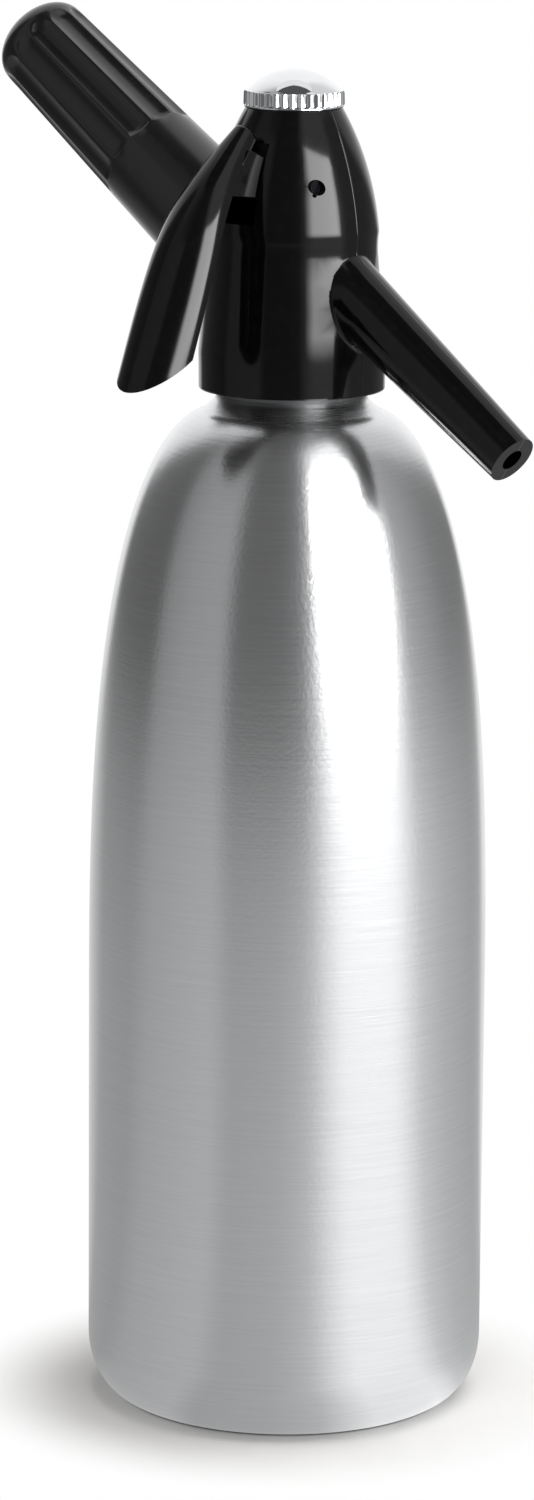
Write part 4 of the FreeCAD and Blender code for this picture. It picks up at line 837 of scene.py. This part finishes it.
# %% [markdown]
# ## Cards for the reflections
# The ring of cards is a cylinder whose glow is listed by the angle from the camera, once for the height of
# the table, once for eye height and once above. Its grey and dark parts, one soft light panel and a dark
# sheet overhead make the dark and light shapes that the bottle and the cap show. The camera sees none of
# them directly.

# %% Cards that the metal mirrors
CAMERA_SIDE = -48
RING_R = 0.55
# Glow of the surround by its angle in degrees, counted to the right from the camera.
GLOW_LOW = np.array([
    (-180, 1.0), (-160, 0.8), (-140, 0.55), (-132, 0.4), (-99, 0.38), (-84, 0.48), (-42, 0.6), (-31, 0.47),
    (-6, 0.52), (6, 0.6), (12, 0.66), (18, 0.85), (24, 1.05), (32, 1.3), (62, 1.4), (70, 1.2), (80, 0.85),
    (98, 0.64), (130, 0.46), (144, 0.5), (152, 1.0), (180, 1.0)])
GLOW_HIGH = np.array([
    (-180, 1.0), (-151, 1.0), (-144, 0.16), (-92, 0.14), (-84, 0.32), (-66, 0.4), (-42, 0.44), (-34, 0.16),
    (-6, 0.16), (8, 0.2), (16, 0.6), (26, 1.0), (66, 1.0), (76, 0.5), (98, 0.37), (114, 0.27), (152, 0.2),
    (159, 1.0), (180, 1.0)])
GLOW_TOP = np.array([
    (-180, 1.15), (-150, 1.15), (-128, 1.0), (-115, 0.75), (-104, 0.55), (-75, 0.41), (-55, 0.25),
    (-31, 0.14), (-2, 0.16), (8, 0.2), (16, 0.6), (26, 1.1), (64, 1.1), (76, 0.9), (92, 0.8), (130, 0.85),
    (150, 1.15), (180, 1.15)])
# Height in metres at which the high cards end and the light above them begins.
CARD_TOP = np.array([
    (-180, 0.2), (-154, 0.23), (-136, 0.34), (-118, 0.57), (-104, 0.94), (-92, 1.15), (-80, 0.8),
    (-60, 0.75), (76, 0.75), (97, 0.7), (115, 0.48), (130, 0.38), (152, 0.25), (180, 0.2)])
LOW_END = 0.06
HIGH_START = 0.16
EDGE_BLUR = 0.06


def room_glow(turn, rise):
    """Glow at angles in degrees: low at the table, high from HIGH_START metres up, top above the cards."""
    low, high, top, edge = (np.interp(turn, stops[:, 0], stops[:, 1])
                            for stops in (GLOW_LOW, GLOW_HIGH, GLOW_TOP, CARD_TOP))
    first = np.clip((rise - LOW_END) / (HIGH_START - LOW_END), 0, 1)
    second = np.clip((rise - edge) / EDGE_BLUR + 0.5, 0, 1)
    return (low * (1 - first) + high * first) * (1 - second) + top * second


def studio_sheet(name, points, glow, strength):
    """Puts a grid of points, with a glow for each, into the scene as a sheet that only mirrors see."""
    rows, columns = glow.shape
    mesh = bpy.data.meshes.new(name)
    mesh.from_pydata(points.reshape(-1, 3).tolist(), [], grid_faces(rows, columns, around=False).tolist())
    layer = mesh.attributes.new("glow", "FLOAT", "POINT")
    layer.data.foreach_set("value", glow.ravel().astype(np.float32))
    mesh.materials.append(studio_material(name, "#FFFFFF", strength))
    piece = bpy.data.objects.new(name, mesh)
    bpy.context.scene.collection.objects.link(piece)
    piece.visible_camera = False
    piece.visible_diffuse = False
    piece.visible_shadow = False
    piece.visible_transmission = False
    return piece


def upright_sheet(turn, height, radius):
    """Cylinder wall: the point at angle a and height z is (r cos a, r sin a, z). Height is rows by columns,
    or rows by one where a row has one height."""
    height = height + 0 * turn
    angle = np.radians(CAMERA_SIDE + turn) + 0 * height
    return np.stack([radius * np.cos(angle), radius * np.sin(angle), height], axis=-1)


turn = np.linspace(-180, 180, 361)
height = np.concatenate([[0.0, LOW_END, 0.1, HIGH_START], np.arange(0.2, 1.61, 0.035)])[:, None]
surround = studio_sheet("card_ring", upright_sheet(turn, height, RING_R), room_glow(turn, height), 1.0)

PANEL_LEFT, PANEL_RIGHT = 16, 66
PANEL_FOOT = 0.228
PANEL_STRENGTH = 14.0
panel_turn = np.linspace(PANEL_LEFT, PANEL_RIGHT, 40)
panel_fade = np.interp(panel_turn, [PANEL_LEFT, 20, 26, 52, 61, PANEL_RIGHT],
                       [0.08, 0.35, 0.85, 0.95, 1.0, 0.5])
panel_top = np.interp(panel_turn, [PANEL_LEFT, PANEL_RIGHT], [0.74, 0.58])
panel_share = np.linspace(0, 1, 21)[:, None]
panel_height = PANEL_FOOT + panel_share * (panel_top - PANEL_FOOT)
panel_glow = panel_fade * np.interp(panel_share, [0, 0.05, 0.1, 0.2], [0.1, 0.4, 0.7, 1.0])
panel = studio_sheet("soft_light_panel", upright_sheet(panel_turn, panel_height, RING_R - 0.01), panel_glow,
                     PANEL_STRENGTH)

# The table card lies just above the floor and glows like the foot of the ring, mixed with an even grey.
TABLE_HEIGHT = np.array([[0.0004]])
table_reach = np.array([0.03, 0.08, 0.16, 0.3, RING_R])
table_points = np.stack([upright_sheet(turn, TABLE_HEIGHT, reach)[0] for reach in table_reach])
table_shade = np.array([0.95, 0.98, 1.02, 1.0, 0.97])[:, None]
table = studio_sheet("card_table", table_points, table_shade * (0.14 + 0.8 * room_glow(turn, 0.0)), 1.0)

# The dark sheet overhead narrows towards the back: distance nearer than the axis, then half its width.
CEILING_HEIGHT = 1.6
CEILING_GLOW = 0.1
overhead_shape = [(0.9, 0.9), (0.3, 0.8), (0.0, 0.6), (-0.1, 0.35), (-0.19, 0.02)]
overhead_points = np.array([[side * half * level_right - near * level_ahead + CEILING_HEIGHT * upright
                             for side in (-1, 0, 1)] for near, half in overhead_shape])
overhead_glow = np.full(overhead_points.shape[:2], CEILING_GLOW)
overhead = studio_sheet("dark_ceiling", overhead_points, overhead_glow, 1.0)
print("cards:", [piece.name for piece in (surround, panel, table, overhead)])

# %% [markdown]
# ## Lamps
# Three large square lamps light the siphon itself. The one overhead makes the soft shadow on the table.
# Mirrors don't see them, because the cards already do that job.

# %% Lamps
def lamp(name, place, aim, size, power):
    """Square area lamp in metres that looks at a point. Nothing mirrors its glow."""
    data = bpy.data.lights.new(name, "AREA")
    data.size = size
    data.energy = power
    shining = bpy.data.objects.new(name, data)
    bpy.context.scene.collection.objects.link(shining)
    back = np.array(place, float) - np.array(aim, float)
    back /= np.linalg.norm(back)
    side_way = np.cross(upright, back)
    side_way /= np.linalg.norm(side_way)
    turned = np.eye(4)
    turned[:3, 0] = side_way
    turned[:3, 1] = np.cross(back, side_way)
    turned[:3, 2] = back
    turned[:3, 3] = place
    shining.matrix_world = Matrix(turned.tolist())
    shining.visible_glossy = False
    return shining


lamps = [
    lamp("overhead_softbox", (0.25, 0.35, 1.5), (0, 0, 0.1), 1.4, 16),
    lamp("right_softbox", (1.1, -0.5, 0.9), (0, 0, 0.2), 0.9, 3),
    lamp("left_fill", (-1.1, -0.6, 0.7), (0, 0, 0.2), 0.9, 2.5),
]
print("lamps:", [(shining.name, shining.data.energy) for shining in lamps])
